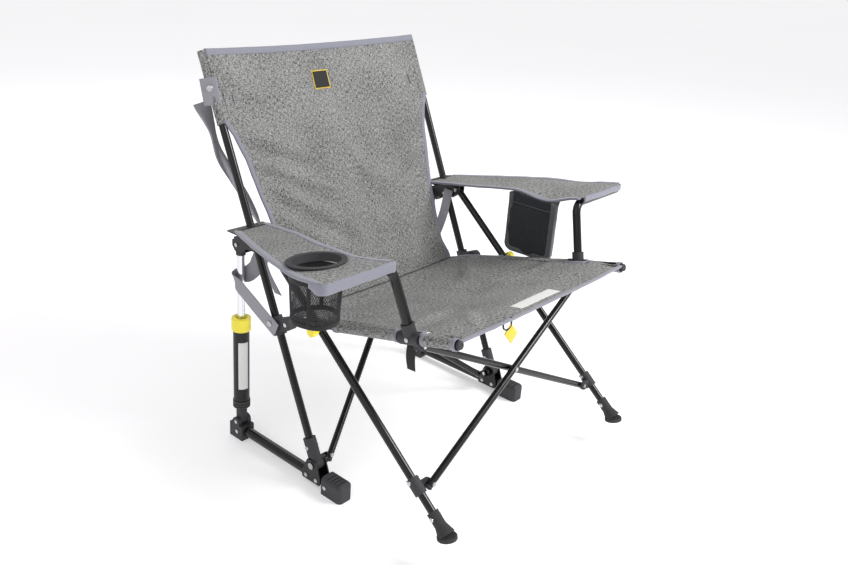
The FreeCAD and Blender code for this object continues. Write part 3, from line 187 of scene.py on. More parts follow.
class Graph:
    """Shader graph of one material, with short ways to add and link nodes."""

    def __init__(self, name: str) -> None:
        """Start a material with an empty Principled shader."""
        self.material = bpy.data.materials.new(name)
        self.material.use_nodes = True
        self.tree = self.material.node_tree
        self.shader = self.tree.nodes["Principled BSDF"]

    def add(self, kind: str, inputs: dict | None = None, **settings) -> bpy.types.Node:
        """Add a node.

        Args:
            kind: node type without the ShaderNode prefix.
            inputs: values or sockets by input name or index.
            settings: attributes of the node.

        Returns:
            The new node.
        """
        node = self.tree.nodes.new("ShaderNode" + kind)
        for key, value in settings.items():
            setattr(node, key, value)
        for key, value in (inputs or {}).items():
            self.feed(node, key, value)
        return node

    def feed(self, node: bpy.types.Node, key: str | int, value: object) -> None:
        """Set an input to a constant or link a socket to it."""
        if isinstance(value, bpy.types.NodeSocket):
            self.tree.links.new(value, node.inputs[key])
        else:
            node.inputs[key].default_value = value

    def math(self, operation: str, first: object, second: object = 0.0) -> bpy.types.NodeSocket:
        """Result of a Math node."""
        return self.add("Math", {0: first, 1: second}, operation=operation).outputs[0]

    def mix(
        self, first: object, first_share: float, second: object, second_share: float
    ) -> bpy.types.NodeSocket:
        """Weighted sum of two values."""
        return self.math(
            "ADD",
            self.math("MULTIPLY", first, first_share),
            self.math("MULTIPLY", second, second_share),
        )

    def noise(self, vector: object, scale: float, detail: float = 2.0) -> bpy.types.NodeSocket:
        """Value of a noise texture."""
        node = self.add("TexNoise", {"Vector": vector, "Scale": scale, "Detail": detail})
        return node.outputs[0]

    def stretch(self, vector: object, scale: tuple[float, float, float]) -> bpy.types.NodeSocket:
        """Coordinates stretched by a scale on each axis."""
        return self.add("Mapping", {"Vector": vector, "Scale": scale}).outputs[0]

    def ramp(self, factor: object, stops: Sequence[tuple[float, tuple]]) -> bpy.types.NodeSocket:
        """Colour ramp.

        Args:
            factor: socket that drives the ramp.
            stops: (position, rgb) pairs.

        Returns:
            The colour output.
        """
        node = self.add("ValToRGB", {0: factor})
        elements = node.color_ramp.elements
        while len(elements) < len(stops):
            elements.new(0.5)
        for element, (place, colour) in zip(elements, stops):
            element.position = place
            element.color = (*colour, 1.0)
        return node.outputs[0]

    def bump(self, height: object, strength: float, distance: float) -> None:
        """Drive the shader's normal from a height."""
        node = self.add("Bump", {"Height": height, "Strength": strength, "Distance": distance})
        self.feed(self.shader, "Normal", node.outputs[0])


@dataclass(frozen=True)
class Coating:
    """Paint, moulding, rubber or metal.

    Attributes:
        name: material name.
        colour: base colour, linear.
        roughness: surface roughness.
        metallic: 1 for bare metal.
        coat: clear coat weight.
        grain: size of the surface grain, per metre.
        relief: strength of the grain's bump.
        wear: how much the roughness wanders.
    """

    name: str
    colour: tuple[float, float, float]
    roughness: float
    metallic: float = 0.0
    coat: float = 0.0
    grain: float = 900.0
    relief: float = 0.05
    wear: float = 0.08

    def build(self) -> bpy.types.Material:
        """Make the material."""
        graph = Graph(self.name)
        where = graph.add("TexCoord").outputs["Object"]
        cloudy = graph.noise(where, 14.0, 4.0)
        smoothest = max(self.roughness - self.wear, 0.03)
        roughness = graph.add("MapRange", {0: cloudy, 3: smoothest, 4: self.roughness + self.wear})
        graph.feed(graph.shader, "Roughness", roughness.outputs[0])
        dark = tuple(c * 0.8 for c in self.colour)
        light = tuple(min(c * 1.18, 1.0) for c in self.colour)
        graph.feed(graph.shader, "Base Color", graph.ramp(cloudy, [(0.35, dark), (0.65, light)]))
        graph.feed(graph.shader, "Metallic", self.metallic)
        graph.feed(graph.shader, "Coat Weight", self.coat)
        graph.feed(graph.shader, "Coat Roughness", 0.12)
        graph.feed(graph.shader, "Specular IOR Level", 0.4)
        graph.bump(graph.noise(where, self.grain, 2.0), self.relief, 0.0004)
        return graph.material


@dataclass(frozen=True)
class Melange:
    """Woven polyester of dark and pale fibres.

    Attributes:
        name: material name.
        dark: colour of the dark fibres.
        pale: colour of the pale fibres.
        slub: fibre flecks per metre.
        balance: share of the ramp at which pale fibres begin.
    """

    name: str
    dark: tuple[float, float, float]
    pale: tuple[float, float, float]
    slub: float = 620.0
    balance: float = 0.47

    def build(self) -> bpy.types.Material:
        """Make the material."""
        graph = Graph(self.name)
        flat = graph.add("TexCoord").outputs["UV"]
        warp = graph.noise(graph.stretch(flat, (1.0, 0.22, 1.0)), self.slub)
        weft = graph.noise(graph.stretch(flat, (0.22, 1.0, 1.0)), self.slub * 1.1)
        cloudy = graph.noise(flat, 11.0, 3.0)
        fibre = graph.mix(warp, 0.5, weft, 0.5)
        drift = graph.math("MULTIPLY", graph.math("SUBTRACT", cloudy, 0.5), 0.10)
        mixed = graph.math("ADD", fibre, drift)
        middle = tuple((a + b) / 2 for a, b in zip(self.dark, self.pale))
        colour = graph.ramp(
            mixed,
            [
                (self.balance - 0.10, self.dark),
                (self.balance + 0.02, middle),
                (self.balance + 0.15, self.pale),
            ],
        )
        graph.feed(graph.shader, "Base Color", colour)
        graph.feed(graph.shader, "Roughness", 0.88)
        graph.feed(graph.shader, "Specular IOR Level", 0.25)
        graph.feed(graph.shader, "Sheen Weight", 0.08)
        graph.feed(graph.shader, "Sheen Roughness", 0.5)
        along, across = (
            graph.add("TexWave", {"Vector": flat, "Scale": 330.0}, bands_direction=way).outputs[1]
            for way in "XY"
        )
        weave = graph.math("ADD", along, across)
        graph.bump(graph.math("ADD", weave, graph.math("MULTIPLY", fibre, 1.4)), 0.35, 0.0005)
        return graph.material


@dataclass(frozen=True)
class Tape:
    """Narrow woven tape or webbing, ribbed across its width.

    Attributes:
        name: material name.
        colour: thread colour.
        ribs: wave scale of the ribs.
        sheen: sheen weight.
    """

    name: str
    colour: tuple[float, float, float]
    ribs: float = 210.0
    sheen: float = 0.3

    def build(self) -> bpy.types.Material:
        """Make the material."""
        graph = Graph(self.name)
        flat = graph.add("TexCoord").outputs["UV"]
        wave = {"Vector": flat, "Scale": self.ribs, "Distortion": 0.4}
        rib = graph.add("TexWave", wave, bands_direction="X").outputs[1]
        thread = graph.noise(graph.stretch(flat, (0.4, 1.0, 1.0)), 800.0)
        shade = graph.mix(rib, 0.35, thread, 0.65)
        dark = tuple(c * 0.72 for c in self.colour)
        light = tuple(min(c * 1.2, 1.0) for c in self.colour)
        graph.feed(graph.shader, "Base Color", graph.ramp(shade, [(0.2, dark), (0.75, light)]))
        graph.feed(graph.shader, "Roughness", 0.75)
        graph.feed(graph.shader, "Sheen Weight", self.sheen)
        graph.bump(shade, 0.4, 0.0006)
        return graph.material


class Look(Enum):
    """Every finish of the chair."""

    FRAME = Coating("gloss_black_paint", (0.0035, 0.0035, 0.004), 0.24, coat=0.1, relief=0.03)
    STEEL = Coating("satin_black_paint", (0.005, 0.005, 0.0055), 0.36)
    MOULDING = Coating("black_moulding", (0.005, 0.005, 0.0055), 0.45, grain=1500.0, relief=0.12)
    RUBBER = Coating("black_rubber", (0.007, 0.007, 0.007), 0.65, grain=1200.0, relief=0.2)
    YELLOW = Coating("yellow_moulding", (0.90, 0.60, 0.004), 0.33, grain=700.0, relief=0.06)
    CHROME = Coating(
        "polished_rod", (0.36, 0.345, 0.355), 0.24, metallic=1.0, relief=0.02, wear=0.05
    )
    RIVET = Coating("plated_steel", (0.52, 0.53, 0.55), 0.3, metallic=1.0, relief=0.05)
    SPRING = Coating("spring_steel", (0.35, 0.35, 0.36), 0.35, metallic=1.0)
    CLOTH = Melange("grey_melange", (0.012, 0.012, 0.0115), (0.44, 0.44, 0.43), slub=620.0)
    POCKET = Melange("pocket_melange", (0.012, 0.014, 0.016), (0.055, 0.062, 0.07), slub=1100.0)
    BINDING = Tape("lavender_binding", (0.235, 0.24, 0.29))
    WEBBING = Tape("grey_webbing", (0.105, 0.107, 0.110), ribs=150.0)
    POCKET_EDGE = Tape("grey_binding", (0.10, 0.108, 0.115))
    BLACK_TAPE = Tape("black_tape", (0.007, 0.007, 0.0075), sheen=0.1)
    MESH = Tape("black_mesh", (0.008, 0.008, 0.009), sheen=0.05)
    LABEL = Tape("pale_label", (0.78, 0.78, 0.76), ribs=260.0, sheen=0.05)
    YELLOW_TAPE = Tape("yellow_tape", (0.90, 0.60, 0.02))
    THREAD = Tape("dark_thread", (0.045, 0.045, 0.045))

    def material(self) -> bpy.types.Material:
        """The finish's material, made at its first use."""
        return bpy.data.materials.get(self.value.name) or self.value.build()


SLOT_LOOKS = {
    "black_frame": Look.FRAME,
    "black_steel": Look.STEEL,
    "black_moulding": Look.MOULDING,
    "black_rubber": Look.RUBBER,
    "yellow_moulding": Look.YELLOW,
    "polished_rod": Look.CHROME,
    "steel_fasteners": Look.RIVET,
    "spring_steel": Look.SPRING,
    "grey_cloth": Look.CLOTH,
    "black_mesh": Look.MESH,
    "grey_webbing": Look.WEBBING,
    "yellow_webbing": Look.YELLOW_TAPE,
    "black_label": Look.BLACK_TAPE,
}


# --------------------------------------------------------------------------
# building pieces
# --------------------------------------------------------------------------


class Piece:
    """One visible piece: makes the mesh, dresses it and fixes it to a body."""

    def __init__(self, name: str, look: Look, slot: str, body: str = SEAT_BODY) -> None:
        """Describe the piece.

        Args:
            name: object name.
            look: its finish.
            slot: material slot of the record that it stands for; not used.
            body: rigid body it moves with.
        """
        self.name, self.look, self.slot, self.body = name, look, slot, body

    def finish(
        self,
        points: Sequence[Vector],
        faces: Sequence[Sequence[int]],
        uvs: Sequence[tuple[float, float]],
        gauge: float = 0.0,
    ) -> bpy.types.Object:
        """Make the object from points, faces and a flat coordinate per point.

        Args:
            points: vertices in the row frame.
            faces: vertex indices of each face.
            uvs: flat coordinates in metres, one per vertex.
            gauge: cloth thickness, 0 for a closed solid.

        Returns:
            The object, riding on its body.
        """
        mesh = bpy.data.meshes.new(self.name)
        mesh.from_pydata([tuple(p) for p in points], [], [list(f) for f in faces])
        layer = mesh.uv_layers.new(name="flat")
        for loop in mesh.loops:
            layer.data[loop.index].uv = uvs[loop.vertex_index]
        mesh.shade_smooth()
        mesh.validate()
        loose = bpy.data.objects.new(self.name, mesh)
        bpy.context.scene.collection.objects.link(loose)
        mesh.materials.append(self.look.material())
        self.tidy(loose)
        if gauge:
            skin = loose.modifiers.new("cloth thickness", "SOLIDIFY")
            skin.thickness = gauge
            skin.offset = 0.0
        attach(loose, self.body)
        LOG.info("%s: %d faces", self.name, len(mesh.polygons))
        return loose

    @staticmethod
    def tidy(item: bpy.types.Object) -> None:
        """Drop loose vertices and point all faces outwards."""
        work = bmesh.new()
        work.from_mesh(item.data)
        bmesh.ops.delete(work, geom=[v for v in work.verts if not v.link_faces], context="VERTS")
        bmesh.ops.recalc_face_normals(work, faces=work.faces)
        work.to_mesh(item.data)
        work.free()


@dataclass
class Surface:
    """Cloth surface over a unit square.

    Attributes:
        point: place of the cloth for (u, v), each from 0 to 1.
        flat: real width and length of the square, metres.
        columns: cells across u.
        rows: cells across v.
        keep: which parts of the square are cloth.
    """

    point: PointFn
    flat: tuple[float, float]
    columns: int
    rows: int
    keep: KeepFn = lambda u, v: True

    def normal(self, u: float, v: float) -> Vector:
        """Unit normal of the surface."""
        step = 1e-3
        along_u = self.point(min(u + step, 1), v) - self.point(max(u - step, 0), v)
        along_v = self.point(u, min(v + step, 1)) - self.point(u, max(v - step, 0))
        return along_u.cross(along_v).normalized()

    def build(self, piece: Piece, gauge: float) -> bpy.types.Object:
        """Mesh the surface.

        Args:
            piece: the piece it becomes.
            gauge: cloth thickness.

        Returns:
            The cloth object.
        """
        points, uvs, faces = [], [], []
        for j in range(self.rows + 1):
            for i in range(self.columns + 1):
                u, v = i / self.columns, j / self.rows
                points.append(self.point(u, v))
                uvs.append((u * self.flat[0], v * self.flat[1]))
        for j in range(self.rows):
            for i in range(self.columns):
                if self.keep((i + 0.5) / self.columns, (j + 0.5) / self.rows):
                    a = j * (self.columns + 1) + i
                    faces.append((a, a + 1, a + self.columns + 2, a + self.columns + 1))
        return piece.finish(points, faces, uvs, gauge)

    def trace(
        self, stops: Sequence[tuple[float, float]], step: float = 0.006
    ) -> list[tuple[Vector, Vector]]:
        """Points and normals along a path on the surface.

        Args:
            stops: (u, v) corners of the path.
            step: spacing in metres.

        Returns:
            (point, normal) pairs.
        """
        result = []
        for (u0, v0), (u1, v1) in zip(stops, stops[1:]):
            length = math.hypot((u1 - u0) * self.flat[0], (v1 - v0) * self.flat[1])
            count = max(int(length / step), 2)
            for index in range(count):
                t = index / count
                u, v = u0 + (u1 - u0) * t, v0 + (v1 - v0) * t
                result.append((self.point(u, v), self.normal(u, v)))
        result.append((self.point(*stops[-1]), self.normal(*stops[-1])))
        return result


def skin(bands: int, rows: int, stride: int, ring: bool = True) -> list[tuple[int, ...]]:
    """Four-sided faces between rows of points.

    Args:
        bands: rows of faces, as many as the point rows when the last row joins the first.
        rows: rows of points.
        stride: points in a row.
        ring: True when the last point of a row joins its first.

    Returns:
        The vertex indices of each face.
    """
    faces = []
    for j in range(bands):
        here, there = j * stride, (j + 1) % rows * stride
        for i in range(stride if ring else stride - 1):
            k = (i + 1) % stride
            faces.append((here + i, here + k, there + k, there + i))
    return faces


def sweep(
    piece: Piece,
    centres: Sequence[Vector],
    wides: Sequence[Vector],
    width: float | Sequence[float],
    gauge: float,
    closed: bool = False,
) -> bpy.types.Object:
    """Flat band with soft edges along a line.

    Args:
        piece: the piece it becomes.
        centres: points of the centre line.
        wides: direction of the band's width at each point.
        width: full width, or one per point.
        gauge: thickness.
        closed: True for a ring.

    Returns:
        The band object.
    """
    over = [(-0.5, -0.12), (-0.47, 0.35), (-0.38, 0.5), (0.0, 0.5), (0.38, 0.5), (0.47, 0.35)]
    under = [(0.5, -0.12), *((-a, -b) for a, b in over[1:])]
    profile = over + under
    widths = [width] * len(centres) if isinstance(width, float) else list(width)
    points, uvs = [], []
    travelled = 0.0
    count, ring = len(centres), len(profile)
    for index, (centre, wide) in enumerate(zip(centres, wides)):
        before = centres[index - 1] if index or closed else centre
        after = centres[(index + 1) % count] if index + 1 < count or closed else centre
        way = (after - before).normalized()
        across = (wide - way * wide.dot(way)).normalized()
        up = way.cross(across)
        if index:
            travelled += (centre - centres[index - 1]).length
        for a, b in profile:
            points.append(centre + across * (a * widths[index]) + up * (b * gauge))
            uvs.append((travelled, a * widths[index]))
    faces = skin(count if closed else count - 1, count, ring)
    if not closed:
        faces.append(tuple(range(ring))[::-1])
        faces.append(tuple((count - 1) * ring + i for i in range(ring)))
    return piece.finish(points, faces, uvs)


def edging(
    name: str,
    path: Sequence[tuple[Vector, Vector]],
    inward: float,
    width: float = 0.0095,
    gauge: float = 0.0042,
    look: Look = Look.BINDING,
) -> bpy.types.Object:
    """Folded binding tape over an edge of a cloth surface.

    Args:
        name: object name.
        path: (point, normal) pairs along the edge.
        inward: +1 or -1, the side of the path the cloth is on.
        width: visible width of the tape.
        gauge: thickness over both folds.
        look: finish.

    Returns:
        The binding object.
    """
    centres, wides = [], []
    count = len(path)
    for index, (point, normal) in enumerate(path):
        before = path[index - 1][0] if index else point
        after = path[index + 1][0] if index + 1 < count else point
        side = normal.cross((after - before).normalized()).normalized() * inward
        wobble = noise.noise(point * 45.0) * 0.0006
        centres.append(point + side * (width * 0.42) + normal * wobble)
        wides.append(side)
    return sweep(Piece(name, look, "grey_cloth"), centres, wides, width, gauge)


def seam(
    name: str, path: Sequence[tuple[Vector, Vector]], lift: float = 0.0012, look: Look = Look.THREAD
) -> bpy.types.Object:
    """Raised line of stitching on a cloth surface.

    Args:
        name: object name.
        path: (point, normal) pairs along the seam.
        lift: height over the middle of the cloth.
        look: finish.

    Returns:
        The seam object.
    """
    centres = [p + n * lift for p, n in path]
    ways = [(b - a).normalized() for a, b in zip(centres, centres[1:] + centres[-1:])]
    ways[-1] = ways[-2]
    wides = [n.cross(w) for (_, n), w in zip(path, ways)]
    return sweep(Piece(name, look, "grey_cloth"), centres, wides, 0.0014, 0.0012)


def sleeve(
    name: str,
    start: Vector,
    end: Vector,
    inner: Vector,
    radius: float,
    tail: float,
    tangent: Vector,
) -> bpy.types.Object:
    """Cloth sleeve around a tube, drawn out to a flat hem on its inner side.

    Args:
        name: object name.
        start: centre of one end.
        end: centre of the other end.
        inner: direction of the hem.
        radius: radius of the sleeve around the tube.
        tail: length of the flat hem.
        tangent: direction in which the hem is tangent to the sleeve.

    Returns:
        The sleeve object.
    """
    way = (end - start).normalized()
    side = (inner - way * inner.dot(way)).normalized()
    up = (tangent - way * tangent.dot(way) - side * tangent.dot(side)).normalized()
    ring, wrap, hem = 40, 330.0, 0.14
    length = (end - start).length
    rows = max(int(length / 0.006), 4)
    points, uvs = [], []
    for j in range(rows + 1):
        base = start.lerp(end, j / rows)
        for i in range(ring + 1):
            angle = math.radians(90.0 + wrap * i / ring)
            flat = max(0.0, (i / ring - (1.0 - hem)) / hem)
            reach = radius * (1.0 + 0.03 * noise.noise(Vector((base.x * 9, j * 0.35, i * 0.5))))
            round_part = up * (math.sin(angle) * reach) + side * (math.cos(angle) * reach)
            points.append(base + round_part + side * (tail * flat))
            uvs.append((radius * math.radians(wrap) * i / ring, length * j / rows))
    faces = skin(rows, rows + 1, ring + 1, ring=False)
    return Piece(name, Look.CLOTH, "grey_cloth").finish(points, faces, uvs, SLEEVE_GAUGE)


def dome(
    name: str, centre: Vector, axis: Vector, radius: float, height: float, look: Look
) -> bpy.types.Object:
    """Low round head of a snap or screw.

    Args:
        name: object name.
        centre: middle of its seat.
        axis: outward direction.
        radius: radius.
        height: height over the seat.
        look: finish.

    Returns:
        The head object.
    """
    axis = axis.normalized()
    side = axis.orthogonal().normalized()
    other = axis.cross(side)
    rings = [(1.0, 0.0), (1.0, 0.35), (0.9, 0.7), (0.62, 0.92), (0.5, 0.7), (0.34, 0.66)]
    count = 32
    points, uvs = [], []
    for share, rise in rings:
        for i in range(count):
            angle = 2 * math.pi * i / count
            offset = side * math.cos(angle) + other * math.sin(angle)
            points.append(centre + offset * (radius * share) + axis * (height * rise))
            uvs.append((radius * share * math.cos(angle), radius * share * math.sin(angle)))
    faces = skin(len(rings) - 1, len(rings), count)
    faces.append(tuple(range(count))[::-1])
    faces.append(tuple((len(rings) - 1) * count + i for i in range(count)))
    return Piece(name, look, "steel_fasteners").finish(points, faces, uvs)


@dataclass(frozen=True)
class Crease:
    """Soft fold of a cloth, with a shallow dip on one side of its ridge.

    Attributes:
        start: where it begins, (across, along) the cloth in metres.
        end: where it runs out.
        depth: nominal height of the ridge.
        width: half width of the ridge.
    """

    start: tuple[float, float]
    end: tuple[float, float]
    depth: float
    width: float

    def lift(self, across: float, along: float) -> float:
        """Height of the fold at a place of the cloth.

        Args:
            across: place across the cloth, metres from its middle.
            along: place along the cloth, metres.

        Returns:
            The height, 0 beyond the fold's ends.
        """
        ax, ay = self.start
        dx, dy = self.end[0] - ax, self.end[1] - ay
        length = math.hypot(dx, dy)
        t = ((across - ax) * dx + (along - ay) * dy) / (length * length)
        off = ((across - ax) * dy - (along - ay) * dx) / length
        if t < -0.25 or t > 1.25:
            return 0.0
        fade = smooth(t, -0.1, 0.25) * (1.0 - smooth(t, 0.55, 1.1))
        ridge = bump_of(off, 0.0, self.width)
        dip = bump_of(off, DIP_PLACE * self.width, DIP_WIDTH * self.width)
        return CREASE_GAIN * self.depth * fade * (ridge - DIP_SHARE * dip)


# --------------------------------------------------------------------------
# sub-assemblies
# --------------------------------------------------------------------------


@dataclass
class Seating:
    """Back and seat cloth between the rear legs and the side rails.

    Attributes:
        tube: radius of legs and rails.
        stand_off: cloth's middle over the tube's surface.
        back_sag: depth of the back's hollow.
        seat_sag: depth of the seat's hollow.
        seam_half: half width of the seam between back and seat.
        seam_dip: how far the seam hangs in the middle.
        sleeve_low: height of the back sleeves' lower ends.
        sleeve_tail: flat hem of a sleeve.
        cutout_half: half length of the cut-outs round the arm post brackets.
        cutout_inset: how far the cut-outs reach in from the rails.
        gauge: cloth thickness.
        creases: folds of the back.
        seat_creases: folds of the seat.
        legs: centre lines of the rear legs.
        rails: centre lines of the side rails.
        top: height of the back's top hem.
        low: height of the seam between back and seat.
        leg_half: half the spacing of the rear legs.
        leg_way: direction of the rear legs, upwards.
        leg_front: forward normal of the back's plane.
        rail_half: half the spacing of the rails.
        rail_up: upward normal of the rails' plane.
        seat_front: place of the seat's front hem.
        bracket: place of the arm post brackets' middle.
        seam_y: place of the seam, front to back.
    """

    tube: float = 0.008
    stand_off: float = 0.0018
    back_sag: float = 0.026
    seat_sag: float = 0.030
    seam_half: float = 0.250
    seam_dip: float = 0.012
    sleeve_low: float = 0.686
    sleeve_tail: float = 0.010
    cutout_half: float = 0.0275
    cutout_inset: float = 0.019
    gauge: float = 0.0014
    creases: tuple[Crease, ...] = (
        Crease((-0.285, 0.385), (-0.05, 0.30), 0.0050, 0.016),
        Crease((-0.262, 0.33), (-0.02, 0.22), 0.0055, 0.017),
        Crease((-0.25, 0.29), (0.00, 0.13), 0.0060, 0.018),
        Crease((-0.24, 0.22), (-0.06, 0.08), 0.0050, 0.016),
        Crease((-0.236, 0.15), (-0.10, 0.03), 0.0040, 0.014),
        Crease((0.285, 0.39), (0.08, 0.31), 0.0045, 0.016),
        Crease((0.255, 0.30), (0.06, 0.20), 0.0040, 0.017),
        Crease((0.242, 0.20), (0.10, 0.06), 0.0045, 0.015),
        Crease((0.236, 0.10), (0.16, 0.01), 0.0035, 0.012),
        Crease((-0.29, 0.50), (-0.12, 0.42), 0.0030, 0.020),
        Crease((0.29, 0.51), (0.10, 0.44), 0.0028, 0.020),
        Crease((0.02, 0.33), (0.09, 0.21), 0.0026, 0.014),
    )
    seat_creases: tuple[Crease, ...] = (
        Crease((-0.27, 0.14), (-0.05, 0.20), 0.0035, 0.018),
        Crease((-0.26, 0.40), (-0.12, 0.30), 0.0040, 0.016),
        Crease((0.27, 0.15), (0.06, 0.22), 0.0035, 0.018),
        Crease((0.26, 0.40), (0.13, 0.31), 0.0035, 0.016),
        Crease((-0.20, 0.02), (-0.10, 0.12), 0.0030, 0.014),
        Crease((0.20, 0.02), (0.10, 0.12), 0.0030, 0.014),
    )
    legs: dict[str, Axis] = field(init=False)
    rails: dict[str, Axis] = field(init=False)
    top: float = field(init=False)
    low: float = field(init=False)
    leg_half: float = field(init=False)
    leg_way: Vector = field(init=False)
    leg_front: Vector = field(init=False)
    rail_half: float = field(init=False)
    rail_up: Vector = field(init=False)
    seat_front: float = field(init=False)
    bracket: float = field(init=False)
    seam_y: float = field(init=False)

    def __post_init__(self) -> None:
        """Measure the tubes the cloth hangs on."""
        self.legs = {hand: Axis.of(hand + "_rear_leg") for hand in SIDES}
        self.rails = {hand: Axis.of(hand + "_seat_rail") for hand in SIDES}
        self.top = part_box("right_rear_leg")[1].z + 0.003
        self.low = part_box("back_panel")[0].z + 0.006
        leg = self.legs["left"]
        self.leg_half = leg.start.x
        self.leg_way = leg.way
        self.leg_front = Vector((0, -leg.way.z, leg.way.y))
        rail = self.rails["left"]
        self.rail_half = rail.start.x
        self.rail_up = Vector((0, rail.way.z, -rail.way.y))
        self.seat_front = rail.end.y + 0.004
        rear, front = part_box("left_rail_bracket")
        self.bracket = rail.at_depth((rear.y + front.y) / 2).y
        self.seam_y = leg.at_height(self.low).y

    # ---- shapes

    def seam_point(self, u: float) -> Vector:
        """Shared edge of back and seat; u runs from 0, right, to 1, left."""
        x = (2 * u - 1) * self.seam_half
        hang = self.seam_dip * (1 - (2 * u - 1) ** 2)
        return Vector((x, self.seam_y + 0.004 + hang, self.low + 0.004 - hang))

    def back_half(self, z: float) -> float:
        """Half width of the back cloth at a height."""
        edge = self.leg_half + 0.002
        knots = [
            (0.318, 0.252),
            (0.345, 0.236),
            (0.370, 0.231),
            (0.403, 0.233),
            (0.49, 0.243),
            (0.533, 0.251),
            (0.574, 0.259),
            (0.618, 0.266),
            (0.662, 0.281),
            (0.682, edge - 0.004),
            (0.692, edge),
        ]
        return table(z, knots)

    def back_point(self, u: float, v: float) -> Vector:
        """Place of the back cloth.

        Args:
            u: from 0, right edge, to 1, left edge.
            v: from 0 at the seam to 1 at the top hem.

        Returns:
            The point.
        """
        z = self.low + (self.top - self.low) * v
        leg = self.legs["left"].at_height(z)
        x = (2 * u - 1) * self.back_half(z)
        share = x / self.leg_half
        belly = 0.75 + 0.25 * math.sin(math.pi * min(v * 1.1, 1))
        sag = self.back_sag * (1 - share * share) * belly
        front = self.tube + self.stand_off - sag
        along = (z - self.low) / self.leg_way.z
        wrinkle = sum(c.lift(x, along) for c in self.creases)
        wrinkle += 0.0016 * noise.noise(Vector((x * 9, along * 9, 0.3)))
        wrinkle += 0.0007 * noise.noise(Vector((x * 30, along * 22, 1.7)))
        pull = smooth(abs(2 * u - 1), 0.97, 1.0)
        place = Vector((x, leg.y, z)) + self.leg_front * (front + wrinkle * (1 - 0.7 * pull))
        gather = (1 - smooth(v, 0.0, 0.16)) ** 2
        return place.lerp(self.seam_point(u) + self.leg_way * (z - self.low), gather)

    def seat_half(self, y: float) -> float:
        """Half width of the seat cloth at a place front to back."""
        rear = self.seam_y
        knots = [
            (self.seat_front, self.rail_half + 0.002),
            (-0.018, self.rail_half + 0.001),
            (-0.004, self.rail_half - 0.008),
            (0.035, 0.262),
            (rear - 0.03, 0.257),
            (rear + 0.004, self.seam_half),
        ]
        return table(y, knots)

    def seat_point(self, u: float, v: float) -> Vector:
        """Place of the seat cloth.

        Args:
            u: from 0, right edge, to 1, left edge.
            v: from 0 at the seam to 1 at the front hem.

        Returns:
            The point.
        """
        y = self.seam_y + 0.004 + (self.seat_front - self.seam_y - 0.004) * v
        rail = self.rails["left"].at_depth(y)
        x = (2 * u - 1) * self.seat_half(y)
        share = x / self.rail_half
        sag = self.seat_sag * (1 - abs(share) ** 2.2) * (1 - 0.93 * smooth(v, 0.4, 1.0))
        sag += 0.006 * smooth(v, 0.85, 1.0)
        along = (y - self.seat_front) / self.rails["left"].way.y
        wrinkle = sum(c.lift(x, abs(along)) for c in self.seat_creases)
        wrinkle += 0.0016 * noise.noise(Vector((x * 8, y * 8, 4.0)))
        wrinkle += 0.0006 * noise.noise(Vector((x * 26, y * 30, 2.0)))
        place = Vector((x, y, rail.z)) + self.rail_up * (self.tube + self.stand_off - sag + wrinkle)
        gather = (1 - smooth(v, 0.0, 0.14)) ** 2
        seam_line = self.seam_point(u) + (Vector((0, y, rail.z)) - self.rail_rear())
        return place.lerp(Vector((x, seam_line.y, seam_line.z)), gather)

    def rail_rear(self) -> Vector:
        """Middle of the seat's rear edge, on the rails' plane."""
        y = self.seam_y + 0.004
        return Vector((0, y, self.rails["left"].at_depth(y).z))

    def seat_keep(self, u: float, v: float) -> bool:
        """False in the cut-outs around the arm post brackets."""
        place = self.seat_point(u, v)
        near = abs(place.y - self.bracket) < self.cutout_half
        return not (near and abs(place.x) > self.rail_half - self.cutout_inset)

    # ---- pieces

    def build(self) -> None:
        """Make the back, the seat and everything sewn to them."""
        back_length = (self.top - self.low) / self.leg_way.z
        back = Surface(self.back_point, (0.58, back_length), 120, 110)
        seat_length = abs(self.seat_front - self.seam_y) / abs(self.rails["left"].way.y)
        seat = Surface(self.seat_point, (0.55, seat_length), 120, 100, self.seat_keep)
        cloth = back.build(Piece("back_cloth", Look.CLOTH, "grey_cloth"), self.gauge)
        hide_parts("back_panel")
        base = seat.build(Piece("seat_cloth", Look.CLOTH, "grey_cloth"), self.gauge)
        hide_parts("seat_panel")
        self.back_trim(back)
        self.seat_trim(seat)
        self.sleeves()
        self.badges(back, seat)

    def v_of_height(self, z: float) -> float:
        """Back cloth's v at a height."""
        return (z - self.low) / (self.top - self.low)

    def v_of_depth(self, y: float) -> float:
        """Seat cloth's v at a place front to back."""
        rear = self.seam_y + 0.004
        return (y - rear) / (self.seat_front - rear)

    def back_trim(self, back: Surface) -> None:
        """Bindings, hem and stitching of the back."""
        edge = self.v_of_height(self.sleeve_low + 0.004)
        for hand, u, way in (("right", 0.0, -1.0), ("left", 1.0, 1.0)):
            path = back.trace([(u, 0.0), (u, edge)])
            edging(hand + "_back_binding", path, way, width=0.0105)
        top = back.trace([(0.0, 1.0), (1.0, 1.0)])
        edging("back_top_binding", top, -1.0, width=0.014, gauge=0.0046)
        for hand, u in (("right", 0.068), ("left", 0.932)):
            tack = back.trace([(u, 0.80), (u, 0.835)])
            centres = [p + n * 0.0026 for p, n in tack]
            sweep(Piece(hand + "_bar_tack", Look.BINDING, "grey_cloth"), centres,
                  [Vector((1, 0, 0))] * len(centres), 0.0022, 0.0012)
        seam("seat_back_seam", back.trace([(0.01, 0.004), (0.99, 0.004)]), 0.0010)

